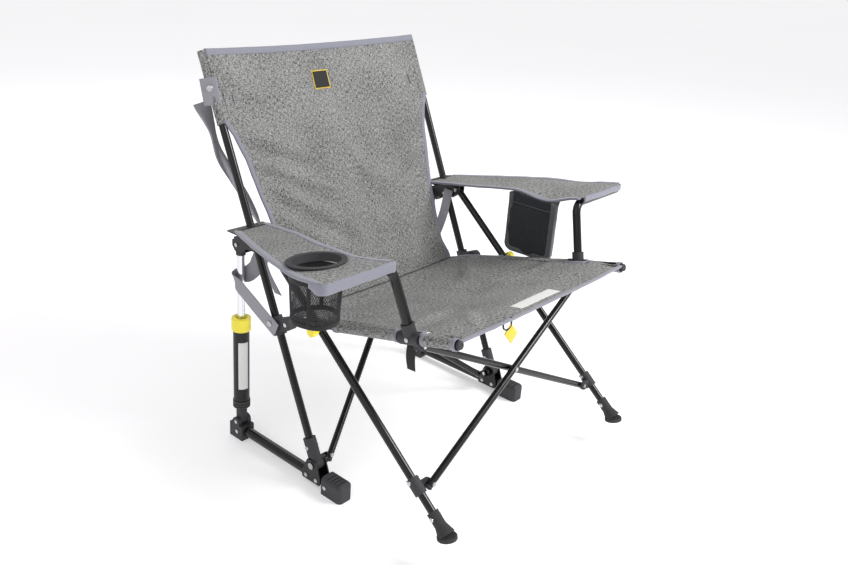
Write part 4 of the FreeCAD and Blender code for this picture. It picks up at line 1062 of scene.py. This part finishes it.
    def seat_trim(self, seat: Surface) -> None:
        """Bindings of the seat's free edges, cut-outs and front hem."""
        free = self.v_of_depth(-0.012)
        rear_cut = self.v_of_depth(self.bracket + self.cutout_half)
        front_cut = self.v_of_depth(self.bracket - self.cutout_half)
        inset = self.cutout_inset / (2 * self.rail_half)
        rounding = 0.012
        for hand, edge, way in (("right", 0.0, 1.0), ("left", 1.0, -1.0)):
            inner = edge + (inset if edge < 0.5 else -inset)
            side = seat.trace([(edge, 0.0), (edge, free)])
            edging(hand + "_seat_binding", side, way, width=0.009)
            loop = [
                (edge, rear_cut),
                (inner, rear_cut + rounding),
                (inner, front_cut - rounding),
                (edge, front_cut),
            ]
            edging(hand + "_cutout_binding", seat.trace(loop), way, width=0.008)
        hem = seat.trace([(0.0, 0.998), (1.0, 0.998)])
        edging("seat_front_binding", hem, 1.0, width=0.0075, gauge=0.0050)
        seam("seat_hem_stitching", seat.trace([(0.0, 0.955), (1.0, 0.955)]), 0.0010)

    def sleeves(self) -> None:
        """Cloth sleeves around legs and rails, with their bound ends."""
        radius = self.tube + self.stand_off
        for hand, side in SIDES.items():
            inner = Vector((-side, 0, 0))
            leg, rail = self.legs[hand], self.rails[hand]
            low, high = (leg.at_height(z) for z in (self.sleeve_low, self.top - 0.001))
            label, tail = hand + "_back_sleeve", self.sleeve_tail
            sleeve(label, low, high, inner, radius, tail, self.leg_front)
            spans = {
                "rear_seat_sleeve": (-0.018, self.bracket + self.cutout_half),
                "front_seat_sleeve": (self.bracket - self.cutout_half, self.seat_front),
            }
            for name, depths in spans.items():
                label = hand + "_" + name
                start, end = (rail.at_depth(y) for y in depths)
                sleeve(label, start, end, inner, radius, tail, self.rail_up)
                for which, place, other in (("low", start, end), ("high", end, start)):
                    self.sleeve_rim(f"{label}_{which}_rim", place, other, radius)

    def sleeve_rim(self, name: str, place: Vector, other: Vector, radius: float) -> None:
        """Binding around one end of a sleeve."""
        way = (other - place).normalized()
        side = way.orthogonal().normalized()
        third = way.cross(side)
        centres = []
        count = 36
        for i in range(count):
            angle = 2 * math.pi * i / count
            out = side * math.cos(angle) + third * math.sin(angle)
            centres.append(place + way * 0.004 + out * (radius + 0.0006))
        piece = Piece(name, Look.BINDING, "grey_cloth")
        sweep(piece, centres, [way] * count, 0.009, 0.0026, closed=True)

    def badges(self, back: Surface, seat: Surface) -> None:
        """Plain woven patch on the back and plain strip on the seat."""
        on_back = (0.492, self.v_of_height(0.748))
        on_seat = (0.493, self.v_of_depth(-0.282))
        self.patch("back_patch_border", back, on_back, (0.044, 0.040), 0.0011, Look.YELLOW_TAPE)
        self.patch("back_patch", back, on_back, (0.040, 0.036), 0.0017, Look.BLACK_TAPE)
        self.patch("seat_strip", seat, on_seat, (0.130, 0.027), 0.0014, Look.LABEL)

    def patch(
        self,
        name: str,
        cloth: Surface,
        centre: tuple[float, float],
        size: tuple[float, float],
        lift: float,
        look: Look,
    ) -> bpy.types.Object:
        """Flat patch sewn on a cloth.

        Args:
            name: object name.
            cloth: surface it lies on.
            centre: (u, v) of its middle.
            size: width and height, metres.
            lift: height of its middle over the cloth's middle.
            look: finish.

        Returns:
            The patch object.
        """
        half_u = size[0] / 2 / cloth.flat[0]
        half_v = size[1] / 2 / cloth.flat[1]

        def point(a: float, b: float) -> Vector:
            u = centre[0] + (2 * a - 1) * half_u
            v = centre[1] + (2 * b - 1) * half_v
            return cloth.point(u, v) + self.facing(cloth, u, v) * lift

        return Surface(point, size, 24, 16).build(Piece(name, look, "grey_cloth"), 0.0008)

    @staticmethod
    def facing(cloth: Surface, u: float, v: float) -> Vector:
        """Normal on the side a sitter sees."""
        normal = cloth.normal(u, v)
        return normal if normal.z > 0 or (abs(normal.z) < 0.9 and normal.y < 0) else -normal


@dataclass
class Armrest:
    """Cloth of one armrest, stretched from the rear plate to the arm post's bar.

    Attributes:
        hand: "right" or "left".
        rear: rear edge, metres behind the origin.
        front: front edge.
        gauge: cloth thickness.
        cup_hole: radius of the hole inside the cup ring.
        side: -1 on the right, 1 on the left.
        outer: widest place of the armrest from the middle of the chair.
        slope: rise of its plane towards the front, per metre.
        low_z: height of its plane at the rear end.
        rear_y: place of its rear end.
        cup: middle of the cup ring, on the right armrest only.
    """

    hand: str
    rear: float = 0.211
    front: float = -0.1835
    gauge: float = 0.0026
    cup_hole: float = 0.0485
    side: float = field(init=False)
    outer: float = field(init=False)
    slope: float = field(init=False)
    low_z: float = field(init=False)
    rear_y: float = field(init=False)
    cup: Vector | None = field(init=False, default=None)

    def __post_init__(self) -> None:
        """Measure the armrest's box and plane."""
        self.side = SIDES[self.hand]
        low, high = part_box(self.hand + "_armrest")
        self.outer = max(abs(low.x), abs(high.x))
        self.slope = (high.z - low.z - ARMREST_RISE) / (high.y - low.y)
        self.low_z = low.z + ARMREST_RISE
        self.rear_y = high.y
        if self.side < 0:
            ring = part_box("cup_ring")
            self.cup = (ring[0] + ring[1]) / 2

    def inner_edge(self, y: float) -> float:
        """Inner edge from the middle of the chair."""
        knots = [
            (-0.184, 0.298),
            (-0.15, 0.303),
            (-0.10, 0.303),
            (-0.002, 0.297),
            (0.089, 0.270),
            (0.21, 0.252),
        ]
        return table(y, knots)

    def outer_edge(self, y: float) -> float:
        """Outer edge from the middle of the chair."""
        knots = [
            (-0.184, 0.001),
            (-0.154, 0.001),
            (-0.126, -0.003),
            (-0.073, -0.018),
            (-0.004, -0.039),
            (0.099, -0.081),
            (0.21, -0.130),
        ]
        return self.outer + table(y, knots)

    def point(self, u: float, v: float) -> Vector:
        """Place of the armrest cloth.

        Args:
            u: from 0, inner edge, to 1, outer edge.
            v: from 0, rear, to 1, front.

        Returns:
            The point.
        """
        corner = 0.010 * max(0.0, (u - 0.93) / 0.07) ** 2
        corner += 0.005 * max(0.0, (0.06 - u) / 0.06) ** 2
        front = self.front + corner
        y = self.rear + (front - self.rear) * v
        x = self.inner_edge(y) + (self.outer_edge(y) - self.inner_edge(y)) * u
        z = self.low_z + self.slope * (self.rear_y - y) - self.gauge / 2
        inner = 0.016 if self.side > 0 else 0.006
        z -= inner * bump_of(y, -0.095, 0.055) * max(0.0, 1 - u / 0.45) ** 1.5
        z -= 0.004 * bump_of(y, -0.085, 0.05) * max(0.0, (u - 0.6) / 0.4) ** 1.5
        z -= 0.003 * math.sin(math.pi * v) * math.sin(math.pi * u) * (0.3 if self.cup else 1.0)
        ripple = noise.noise(Vector((x * 14, y * 12, self.side * 3)))
        z += 0.0012 * ripple * (1 - smooth(v, 0.0, 0.05))
        return Vector((self.side * x, y, z))

    def keep(self, u: float, v: float) -> bool:
        """False inside the cup ring's hole."""
        if self.cup is None:
            return True
        place = self.point(u, v)
        return math.hypot(place.x - self.cup.x, place.y - self.cup.y) > self.cup_hole

    def build(self) -> None:
        """Make the armrest cloth and its binding."""
        length = self.rear - self.front
        cloth = Surface(self.point, (0.135, length), 56, 120, self.keep)
        piece = Piece(self.hand + "_armrest_cloth", Look.CLOTH, "grey_cloth")
        item = cloth.build(piece, self.gauge)
        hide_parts(self.hand + "_armrest")
        for name, u, way in (("inner", 0.0, -self.side), ("outer", 1.0, self.side)):
            label = f"{self.hand}_armrest_{name}_binding"
            path = cloth.trace([(u, 0.0), (u, 0.995)])
            edging(label, path, -way, width=0.0130, gauge=0.0050)
        self.front_band(cloth)
        rear = cloth.trace([(0.0, 0.004), (1.0, 0.004)])
        label = self.hand + "_armrest_rear_tape"
        edging(label, rear, -self.side, width=0.012, gauge=0.0048, look=Look.BLACK_TAPE)

    def front_band(self, cloth: Surface) -> None:
        """Binding that covers the post's bar along the front edge and round the outer corner.

        Args:
            cloth: the armrest's surface.
        """
        tall = 0.020 if self.side < 0 else 0.013
        radius = 0.012
        inner, outer = 0.300, self.outer + 0.0022
        edge = self.front - 0.0012
        line = [(inner + (outer - radius - inner) * i / 24, edge) for i in range(25)]
        middle = (outer - radius, edge + radius)
        for i in range(1, 9):
            angle = math.radians(-90 + 90 * i / 8)
            x, y = radius * math.cos(angle), radius * math.sin(angle)
            line.append((middle[0] + x, middle[1] + y))
        line += [(outer, middle[1] + 0.004 * i) for i in range(1, 6)]
        last = len(line) - 1
        widths = [tall * (1 - 0.45 * smooth(i, last - 5, last)) for i in range(len(line))]
        centres = []
        for (x, y), width in zip(line, widths):
            z = self.low_z + self.slope * (self.rear_y - y)
            rise = 0.0012 * noise.noise(Vector((x * 40, y * 40, self.side)))
            centres.append(Vector((self.side * x, y, z - width / 2 + 0.0005 + rise)))
        piece = Piece(self.hand + "_armrest_front_band", Look.BINDING, "grey_cloth")
        sweep(piece, centres, [Vector((0, 0, 1))] * len(centres), widths, 0.0030)


@dataclass
class CupBasket:
    """Open mesh cup under the ring, with a taped rim, seam and base.

    Attributes:
        columns: mesh holes around.
        rows: mesh holes down the wall.
        thread: thickness of the mesh's threads.
        base_rings: rings of mesh in the base.
        base_dip: how far the base hangs in the middle.
        centre: middle of the base's rim.
        height: height of the wall.
        radius: radius at the rim.
    """

    columns: int = 64
    rows: int = 22
    thread: float = 0.0011
    base_rings: int = 7
    base_dip: float = 0.004
    centre: Vector = field(init=False)
    height: float = field(init=False)
    radius: float = field(init=False)

    def __post_init__(self) -> None:
        """Measure the cup's box."""
        low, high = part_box("cup_basket")
        self.centre = Vector(((low.x + high.x) / 2, (low.y + high.y) / 2, low.z))
        self.height = high.z - low.z
        self.radius = (high.x - low.x) / 2 - 0.001

    def build(self) -> None:
        """Make the lattice and its tapes."""
        lattice = self.lattice()
        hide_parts("cup_basket")
        self.tape("cup_top_tape", 0.97, 0.012)
        self.tape("cup_base_tape", 0.04, 0.010)
        self.upright("cup_seam_tape", 0.6)
        self.upright("cup_rear_seam_tape", 3.7)

    def wall(self, angle: float, share: float) -> Vector:
        """Point of the wall; share runs from 0 at the base to 1 at the rim."""
        free = 1 - share
        soft = 1 + 0.035 * math.sin(3 * angle + 1.0) * free + 0.02 * math.sin(5 * angle) * free
        reach = self.radius * (0.90 + 0.10 * share) * soft
        way = Vector((math.cos(angle) * reach, math.sin(angle) * reach, self.height * share))
        return self.centre + way

    def lattice(self) -> bpy.types.Object:
        """Diamond net over wall and base, made solid."""
        count = self.columns
        points = [
            self.wall(2 * math.pi * (i + 0.5 * (j % 2)) / count, j / self.rows)
            for j in range(self.rows + 1)
            for i in range(count)
        ]
        faces = []
        for j in range(self.rows - 1):
            low, middle, top = (row * count for row in (j, j + 1, j + 2))
            for i in range(count):
                left = (i if j % 2 else i - 1) % count
                right = (left + 1) % count
                faces.append((low + i, middle + right, top + i, middle + left))
        base = len(points)
        for j in range(1, self.base_rings):
            share = j / self.base_rings
            for i in range(count):
                edge = self.wall(2 * math.pi * i / count, 0.0)
                sunk = Vector((0, 0, self.base_dip * share))
                points.append(edge.lerp(self.centre, share) - sunk)
        for j in range(self.base_rings - 1):
            step = 2 if j > 2 else 1
            outer = base + (j - 1) * count if j else 0
            inner = base + j * count
            for i in range(0, count, step):
                k = (i + step) % count
                faces.append((outer + i, outer + k, inner + k, inner + i))
        uvs = [(p.x, p.z) for p in points]
        item = Piece("cup_mesh", Look.MESH, "black_mesh").finish(points, faces, uvs)
        wire = item.modifiers.new("threads", "WIREFRAME")
        wire.thickness = self.thread
        wire.use_boundary = True
        wire.use_even_offset = False
        return item

    def tape(self, name: str, share: float, width: float) -> None:
        """Black tape around the wall."""
        count = 60
        centres = [self.wall(2 * math.pi * i / count, share) for i in range(count)]
        piece = Piece(name, Look.BLACK_TAPE, "black_mesh")
        sweep(piece, centres, [Vector((0, 0, 1))] * count, width, 0.0026, closed=True)

    def upright(self, name: str, angle: float) -> None:
        """Black tape down the wall."""
        centres = [self.wall(angle, i / 14) for i in range(15)]
        wide = Vector((-math.sin(angle), math.cos(angle), 0))
        piece = Piece(name, Look.BLACK_TAPE, "black_mesh")
        sweep(piece, centres, [wide] * len(centres), 0.007, 0.0024)


@dataclass
class PhonePocket:
    """Flat pocket that hangs from the left armrest's inner edge.

    Attributes:
        gauge: cloth thickness.
        bulge: how far the panels stand apart in the middle.
        corner: radius of the lower corners.
        low: lowest corner of the pocket's box.
        high: highest corner.
    """

    gauge: float = 0.0014
    bulge: float = 0.003
    corner: float = 0.020
    low: Vector = field(init=False)
    high: Vector = field(init=False)

    def __post_init__(self) -> None:
        """Measure the pocket's box."""
        self.low, self.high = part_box("phone_pocket")

    def build(self) -> None:
        """Make both panels, their binding and the hanging flap."""
        low, high = self.low, self.high
        length, depth = high.y - low.y, high.z - low.z

        def panel(x: float, out: float) -> PointFn:
            def point(u: float, v: float) -> Vector:
                y = high.y - length * u
                swell = self.bulge * math.sin(math.pi * u) * math.sin(math.pi * min(v * 0.9, 1))
                slack = 0.0015 * noise.noise(Vector((y * 30, v * 4, x * 50)))
                return Vector((x + out * swell + slack, y, low.z + depth * v))

            return point

        def rounded(u: float, v: float) -> bool:
            across = max(self.corner - min(u, 1 - u) * length, 0.0)
            down = max(self.corner - v * depth, 0.0)
            return math.hypot(across, down) < self.corner - 0.001

        inner = Surface(panel(low.x + 0.001, -1.0), (length, depth), 48, 52, rounded)
        outer = Surface(panel(high.x - 0.001, 1.0), (length, depth), 48, 52, rounded)
        front = inner.build(Piece("phone_pocket_front", Look.POCKET, "grey_cloth"), self.gauge)
        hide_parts("phone_pocket")
        outer.build(Piece("phone_pocket_rear", Look.CLOTH, "grey_cloth"), self.gauge)
        reach_u, reach_v = self.corner / length, self.corner / depth
        rim = [(0.0, 1.0)]
        for middle_u, first in ((reach_u, 180), (1 - reach_u, 270)):
            for i in range(7):
                angle = math.radians(first + 15 * i)
                u = middle_u + reach_u * math.cos(angle)
                rim.append((u, reach_v * (1 + math.sin(angle))))
        rim.append((1.0, 1.0))
        middle = Surface(panel((low.x + high.x) / 2, 0.0), (length, depth), 36, 40)
        path = middle.trace(rim, 0.005)
        thick = high.x - low.x + 0.001
        edging("phone_pocket_binding", path, 1.0, 0.014, thick, Look.POCKET_EDGE)
        top = inner.trace([(0.0, 0.86), (1.0, 0.86)])
        seam("phone_pocket_hem", top, 0.0012, Look.POCKET_EDGE)
        self.flap(length)

    def flap(self, length: float) -> None:
        """Strip that joins the pocket to the armrest's edge."""
        low, high = self.low, self.high
        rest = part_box("left_armrest")
        slope = (rest[1].z - rest[0].z - ARMREST_RISE) / (rest[1].y - rest[0].y)

        def point(u: float, v: float) -> Vector:
            y = high.y - length * u
            edge = rest[0].z + ARMREST_RISE + slope * (rest[1].y - y) - 0.006
            edge -= 0.012 * bump_of(y, -0.105, 0.05)
            z = (high.z - 0.012) * (1 - v) + edge * v
            return Vector((high.x - 0.001 + 0.006 * v * v, y, z))

        strip = Surface(point, (length, 0.03), 36, 8)
        strip.build(Piece("phone_pocket_flap", Look.CLOTH, "grey_cloth"), self.gauge)


@dataclass
class Straps:
    """Webbing, pull tag and care label.

    Attributes:
        width: carry strap width.
        gauge: webbing thickness.
        leg: centre line of the rear leg that the carry strap hangs on.
    """

    width: float = 0.034
    gauge: float = 0.0019
    leg: Axis = field(init=False)

    def __post_init__(self) -> None:
        """Measure the leg."""
        self.leg = Axis.of("right_rear_leg")

    def build(self) -> None:
        """Make every strap."""
        self.carry()
        self.corners()
        self.tag()
        self.label()

    def band(
        self,
        name: str,
        stops: Sequence[tuple[Vector, Vector]],
        width: float,
        look: Look,
        slot: str,
        count: int,
    ) -> bpy.types.Object:
        """Webbing through places, each with the direction of its width.

        Args:
            name: object name.
            stops: (point, width direction) pairs.
            width: width of the webbing.
            look: finish.
            slot: material slot of the record.
            count: points along the band.

        Returns:
            The band object.
        """
        centres = spline([p for p, _ in stops], count)
        wides = [w.normalized() for w in spline([w for _, w in stops], count)]
        return sweep(Piece(name, look, slot), centres, wides, width, self.gauge)

    def carry(self) -> None:
        """Carry strap: flap on the back sleeve, slack band, loop at the strut, lower flap."""
        x = self.leg.start.x
        up = Vector((0, 0.42, 0.9))
        facing = Vector((-0.77, -0.64, 0.0))
        flap_top = self.leg.at_height(0.772) + facing * 0.0128
        flap_low = self.leg.at_height(0.722) + facing * 0.0135 + Vector((0, 0.008, 0))
        level_wide = Vector((0.64, -0.77, 0.0))
        flap_middle = flap_top.lerp(flap_low, 0.5)
        flap = [(place, level_wide) for place in (flap_top, flap_middle, flap_low)]
        upper = self.band("carry_strap_flap", flap, self.width, Look.WEBBING, "grey_webbing", 20)
        fold = Vector((x - 0.0150, 0.338, 0.722))
        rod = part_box("right_rod_end")
        rod_y = (rod[0].y + rod[1].y) / 2
        route = [
            (fold + Vector((0.001, 0.002, 0.0)), up),
            (Vector((x - 0.010, fold.y - 0.020, 0.680)), Vector((0.2, 0.5, 0.8))),
            (Vector((x - 0.006, 0.296, 0.627)), Vector((0.3, 0.55, 0.75))),
            (Vector((x + 0.010, 0.275, 0.582)), Vector((0.4, 0.6, 0.65))),
            (Vector((x + 0.030, 0.250, 0.530)), Vector((0.4, 0.65, 0.6))),
            (Vector((x + 0.042, 0.232, 0.485)), Vector((0.3, 0.7, 0.6))),
            (Vector((x + 0.036, 0.216, 0.444)), Vector((0.2, 0.6, 0.8))),
            (Vector((x + 0.020, 0.214, 0.412)), Vector((0.1, 0.3, 1.0))),
            (Vector((x + 0.0125, rod_y - 0.010, 0.390)), Vector((0.05, 0.1, 1.0))),
            (Vector((x + 0.0085, rod_y + 0.0085, 0.382)), Vector((0.0, 0.1, 1.0))),
            (Vector((x - 0.003, rod_y + 0.0125, 0.378)), Vector((0.0, 0.2, 1.0))),
            (Vector((x - 0.0125, rod_y + 0.004, 0.373)), Vector((0.0, 0.45, 1.0))),
            (Vector((x - 0.0150, rod_y - 0.030, 0.360)), Vector((0.0, 0.5, 0.9))),
            (Vector((x - 0.0155, 0.165, 0.337)), Vector((0.0, 0.5, 0.87))),
            (Vector((x - 0.0158, 0.112, 0.312)), Vector((0.0, 0.5, 0.87))),
        ]
        strap = self.band("carry_strap_band", route, self.width, Look.WEBBING, "grey_webbing", 150)
        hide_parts("carry_strap")
        out = Vector((-1, 0, 0))
        low_snap = route[-2][0].lerp(route[-1][0], 0.64)
        top_snap = flap_top.lerp(flap_low, 0.38)
        for name, place, way in (("top", top_snap, facing), ("low", low_snap, out)):
            name = f"carry_strap_{name}_snap"
            dome(name, place + way * 0.001, way, SNAP_RADIUS, SNAP_HEIGHT, Look.RIVET)

    def corners(self) -> None:
        """Short straps from the arm plates to the back's lower corners."""
        bottom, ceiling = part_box("corner_straps")
        wide = Vector((0, 1, 0.15))
        for hand, side in SIDES.items():
            setback = 0.177 if side > 0 else 0.203
            top = Vector((side * 0.281, setback, ceiling.z + 0.006))
            low = Vector((side * 0.243, 0.186, bottom.z - 0.004))
            bow = Vector((side * 0.009, 0, 0))
            stops = [(place, wide) for place in (top, top.lerp(low, 0.5) + bow, low)]
            name = hand + "_corner_strap"
            self.band(name, stops, 0.026, Look.WEBBING, "grey_webbing", 30)
        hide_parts("corner_straps")

    def tag(self) -> None:
        """Yellow pull tag on a black loop under the front hem."""
        low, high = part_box("pull_tag")
        x, y = (low.x + high.x) / 2 - 0.027, low.y - 0.008
        top = Vector((x, y, high.z + 0.018))
        way = Vector((0.68, 0.02, -0.73))
        wide = Vector((0.73, 0.0, 0.68))
        middle = top + way * 0.018 + Vector((0, -0.001, 0))
        stops = [(place, wide) for place in (top, middle, top + way * 0.036)]
        tag = self.band("pull_tag_tape", stops, 0.025, Look.YELLOW_TAPE, "yellow_webbing", 24)
        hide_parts("pull_tag")
        turns = [
            (-0.013, 0.002, 0.020),
            (-0.014, 0.0, 0.006),
            (-0.002, 0.0, -0.001),
            (0.009, 0.0, 0.006),
            (0.010, 0.002, 0.020),
        ]
        loop = spline([top + Vector(turn) for turn in turns], 26)
        piece = Piece("pull_tag_loop", Look.BLACK_TAPE, "yellow_webbing")
        sweep(piece, loop, [Vector((0, 1, 0))] * len(loop), 0.0032, 0.0026)

    def label(self) -> None:
        """Small black care label that hangs from the right rail."""
        low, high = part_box("care_label")
        x, y = (low.x + high.x) / 2, (low.y + high.y) / 2
        wide = Vector((0, 1, 0))
        stops = [
            (Vector((x, y, high.z)), wide),
            (Vector((x - 0.002, y - 0.001, (low.z + high.z) / 2)), wide),
            (Vector((x - 0.001, y - 0.004, low.z)), Vector((0.1, 1, 0))),
        ]
        item = self.band("care_label_tape", stops, 0.022, Look.BLACK_TAPE, "black_label", 24)
        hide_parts("care_label")


@dataclass
class StrutLabels:
    """Plain pale plates on the strut cylinders.

    Attributes:
        height: plate height.
        angle: arc of the plate, degrees.
        facing: direction of the plate's middle, degrees from +X.
        gauge: plate thickness.
    """

    height: float = 0.112
    angle: float = 70.0
    facing: float = 246.0
    gauge: float = 0.0006

    def build(self) -> None:
        """Make one plate on each strut."""
        for hand, side in SIDES.items():
            low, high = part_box(hand + "_strut_cylinder")
            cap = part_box(hand + "_strut_cap")
            radius = (high.x - low.x) / 2 + 0.0003
            base = Vector(((low.x + high.x) / 2, (low.y + high.y) / 2, low.z))
            half_way = (low.z + high.z) / 2
            rise = (cap[0].z + cap[1].z) / 2 - half_way
            lean = ((cap[0].y + cap[1].y) / 2 - base.y) / rise
            middle = half_way + 0.004
            turn = self.facing if side < 0 else 540.0 - self.facing

            def point(u: float, v: float) -> Vector:
                z = middle + (v - 0.5) * self.height
                angle = math.radians(turn + (u - 0.5) * self.angle)
                x = base.x + radius * math.cos(angle)
                y = base.y + lean * (z - half_way) + radius * math.sin(angle)
                return Vector((x, y, z))

            plate = Surface(point, (radius * math.radians(self.angle), self.height), 18, 30)
            name, body = hand + "_strut_label", hand + "_cylinder"
            plate.build(Piece(name, Look.LABEL, "black_moulding", body), self.gauge)


@dataclass
class StrutSprings:
    """Coil springs inside the cylinders.

    Attributes:
        shortest: share of its length a spring keeps with its rod fully in; not used.
    """

    shortest: float = 0.36

    def build(self) -> None:
        """Stand a copy in for each spring."""
        for hand in SIDES:
            node = frame["nodes"][hand + "_strut_spring"]
            mesh = node.data.copy()
            mesh.materials.clear()
            mesh.materials.append(Look.SPRING.material())
            coil = bpy.data.objects.new(hand + "_strut_coil", mesh)
            bpy.context.scene.collection.objects.link(coil)
            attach(coil, hand + "_cylinder")
            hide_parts(hand + "_strut_spring")
            low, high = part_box(hand + "_strut_spring")
            strut = Axis.of(hand + "_strut_cylinder")
            anchor = strut.at_height(low.z)
            anchor.x = (low.x + high.x) / 2
            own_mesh(coil)


@dataclass
class Frame:
    """The hard pieces of the CAD, painted, with plugs in the open tube ends.

    Attributes:
        plug: radius of the plugs of legs and rails.
        cross_plug: radius of the plugs of the cross tubes.
        plug_rise: height of a low plug.
        rail_plug_rise: height of the plugs that show on the rails.
        inset: how far the plugs of legs and rails sit in.
    """

    plug: float = 0.0082
    cross_plug: float = 0.0071
    plug_rise: float = 0.004
    rail_plug_rise: float = 0.006
    inset: float = 0.001

    def build(self) -> None:
        """Give every CAD node its finish and close the open tube ends."""
        slots = {s["node"]: s["material_slot"] for s in frame["record"]["subparts"]}
        for name, node in frame["nodes"].items():
            node.data.materials.clear()
            node.data.materials.append(SLOT_LOOKS[slots[name]].material())
        ends = (("seat_rail", "rail", self.rail_plug_rise), ("rear_leg", "leg", self.plug_rise))
        for hand in SIDES:
            for node, label, rise in ends:
                tube = Axis.of(f"{hand}_{node}")
                seat = tube.end - tube.way * self.inset
                dome(f"{hand}_{label}_plug", seat, tube.way, self.plug, rise, Look.MOULDING)
        for name in (f"{place}_cross_{hand}" for place in ("front", "rear") for hand in SIDES):
            tube = Axis.of(name)
            for which, end, way in (("low", tube.start, -tube.way), ("high", tube.end, tube.way)):
                plug = f"{name}_{which}_plug"
                dome(plug, end, way, self.cross_plug, self.plug_rise, Look.MOULDING)
        LOG.info("painted %d nodes", len(frame["nodes"]))


@dataclass
class Studio:
    """Pale floor, soft light and the camera.

    Attributes:
        azimuth: camera's bearing, degrees.
        elevation: camera's height above the horizon, degrees.
        roll: camera's roll, degrees.
        place: camera's position.
        lens: focal length, millimetres.
    """

    azimuth: float = -50.22
    elevation: float = 22.69
    roll: float = 4.17
    place: tuple[float, float, float] = (-1.3053, -1.0867, 1.0788)
    lens: float = 36.745

    def build(self) -> None:
        """Make floor, world, lights and camera."""
        self.floor()
        self.world()
        self.light("key", (1.5, -2.2, 2.6), 1.3, 88.0)
        self.light("fill", (-2.6, -0.6, 2.2), 2.6, 10.0)
        self.light("rim", (1.6, 2.6, 2.6), 2.4, 16.0)
        self.camera()
        settings = bpy.context.scene.view_settings
        settings.view_transform = "Standard"
        settings.look = "None"

    def floor(self) -> None:
        """Large pale sweep under the chair."""
        bpy.ops.mesh.primitive_plane_add(size=60.0, location=(0, 0, 0))
        plane = bpy.context.object
        plane.name = "studio_floor"
        graph = Graph("studio_paper")
        where = graph.add("TexCoord").outputs["Object"]
        tones = [(0.3, (0.90, 0.895, 0.905)), (0.7, (0.92, 0.915, 0.925))]
        shade = graph.ramp(graph.noise(where, 0.8), tones)
        graph.feed(graph.shader, "Base Color", shade)
        graph.feed(graph.shader, "Roughness", 0.9)
        graph.feed(graph.shader, "Specular IOR Level", 0.1)
        graph.feed(graph.shader, "Emission Color", (1.0, 0.99, 1.0, 1.0))
        graph.feed(graph.shader, "Emission Strength", 0.34)
        plane.data.materials.append(graph.material)

    @staticmethod
    def world() -> None:
        """Even white surroundings."""
        world = bpy.data.worlds.new("studio")
        world.use_nodes = True
        back = world.node_tree.nodes["Background"]
        back.inputs[0].default_value = (1.0, 0.99, 1.0, 1.0)
        paths = world.node_tree.nodes.new("ShaderNodeLightPath")
        strength = world.node_tree.nodes.new("ShaderNodeMapRange")
        strength.inputs["To Min"].default_value = 0.62
        strength.inputs["To Max"].default_value = 1.05
        world.node_tree.links.new(paths.outputs["Is Camera Ray"], strength.inputs["Value"])
        world.node_tree.links.new(strength.outputs[0], back.inputs[1])
        bpy.context.scene.world = world

    @staticmethod
    def light(name: str, place: tuple[float, float, float], size: float, power: float) -> None:
        """Square soft box aimed at the seat.

        Args:
            name: light name.
            place: position.
            size: side of the box.
            power: power in watts.
        """
        data = bpy.data.lights.new(name, "AREA")
        data.size = size
        data.energy = power
        lamp = bpy.data.objects.new(name, data)
        lamp.location = place
        lamp.rotation_mode = "QUATERNION"
        lamp.rotation_quaternion = (Vector((0, 0, 0.4)) - Vector(place)).to_track_quat("-Z", "Y")
        bpy.context.scene.collection.objects.link(lamp)

    def camera(self) -> None:
        """Camera in front of the chair's right side, looking slightly down."""
        a, e, r = (math.radians(d) for d in (self.azimuth, self.elevation, self.roll))
        back = Vector((math.sin(a) * math.cos(e), -math.cos(a) * math.cos(e), math.sin(e)))
        level = Vector((0, 0, 1)).cross(back).normalized()
        upright = back.cross(level)
        right = level * math.cos(r) + upright * math.sin(r)
        up = upright * math.cos(r) - level * math.sin(r)
        data = bpy.data.cameras.new("studio_camera")
        data.lens = self.lens
        data.sensor_width = 36.0
        data.dof.use_dof = False
        camera = bpy.data.objects.new("studio_camera", data)
        turn = Matrix((right, up, back)).transposed().to_4x4()
        turn.translation = Vector(self.place)
        camera.matrix_world = turn
        bpy.context.scene.collection.objects.link(camera)
        bpy.context.scene.camera = camera


def main() -> None:
    """Build the chair and its studio."""
    logging.basicConfig(level=logging.INFO, format="%(name)s %(message)s")
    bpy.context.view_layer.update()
    assemblies = (
        Frame(),
        StrutSprings(),
        Seating(),
        Armrest("right"),
        Armrest("left"),
        CupBasket(),
        PhonePocket(),
        Straps(),
        StrutLabels(),
        Studio(),
    )
    for assembly in assemblies:
        assembly.build()
        LOG.info("%s done", type(assembly).__name__)


if __name__ == "__main__":
    main()
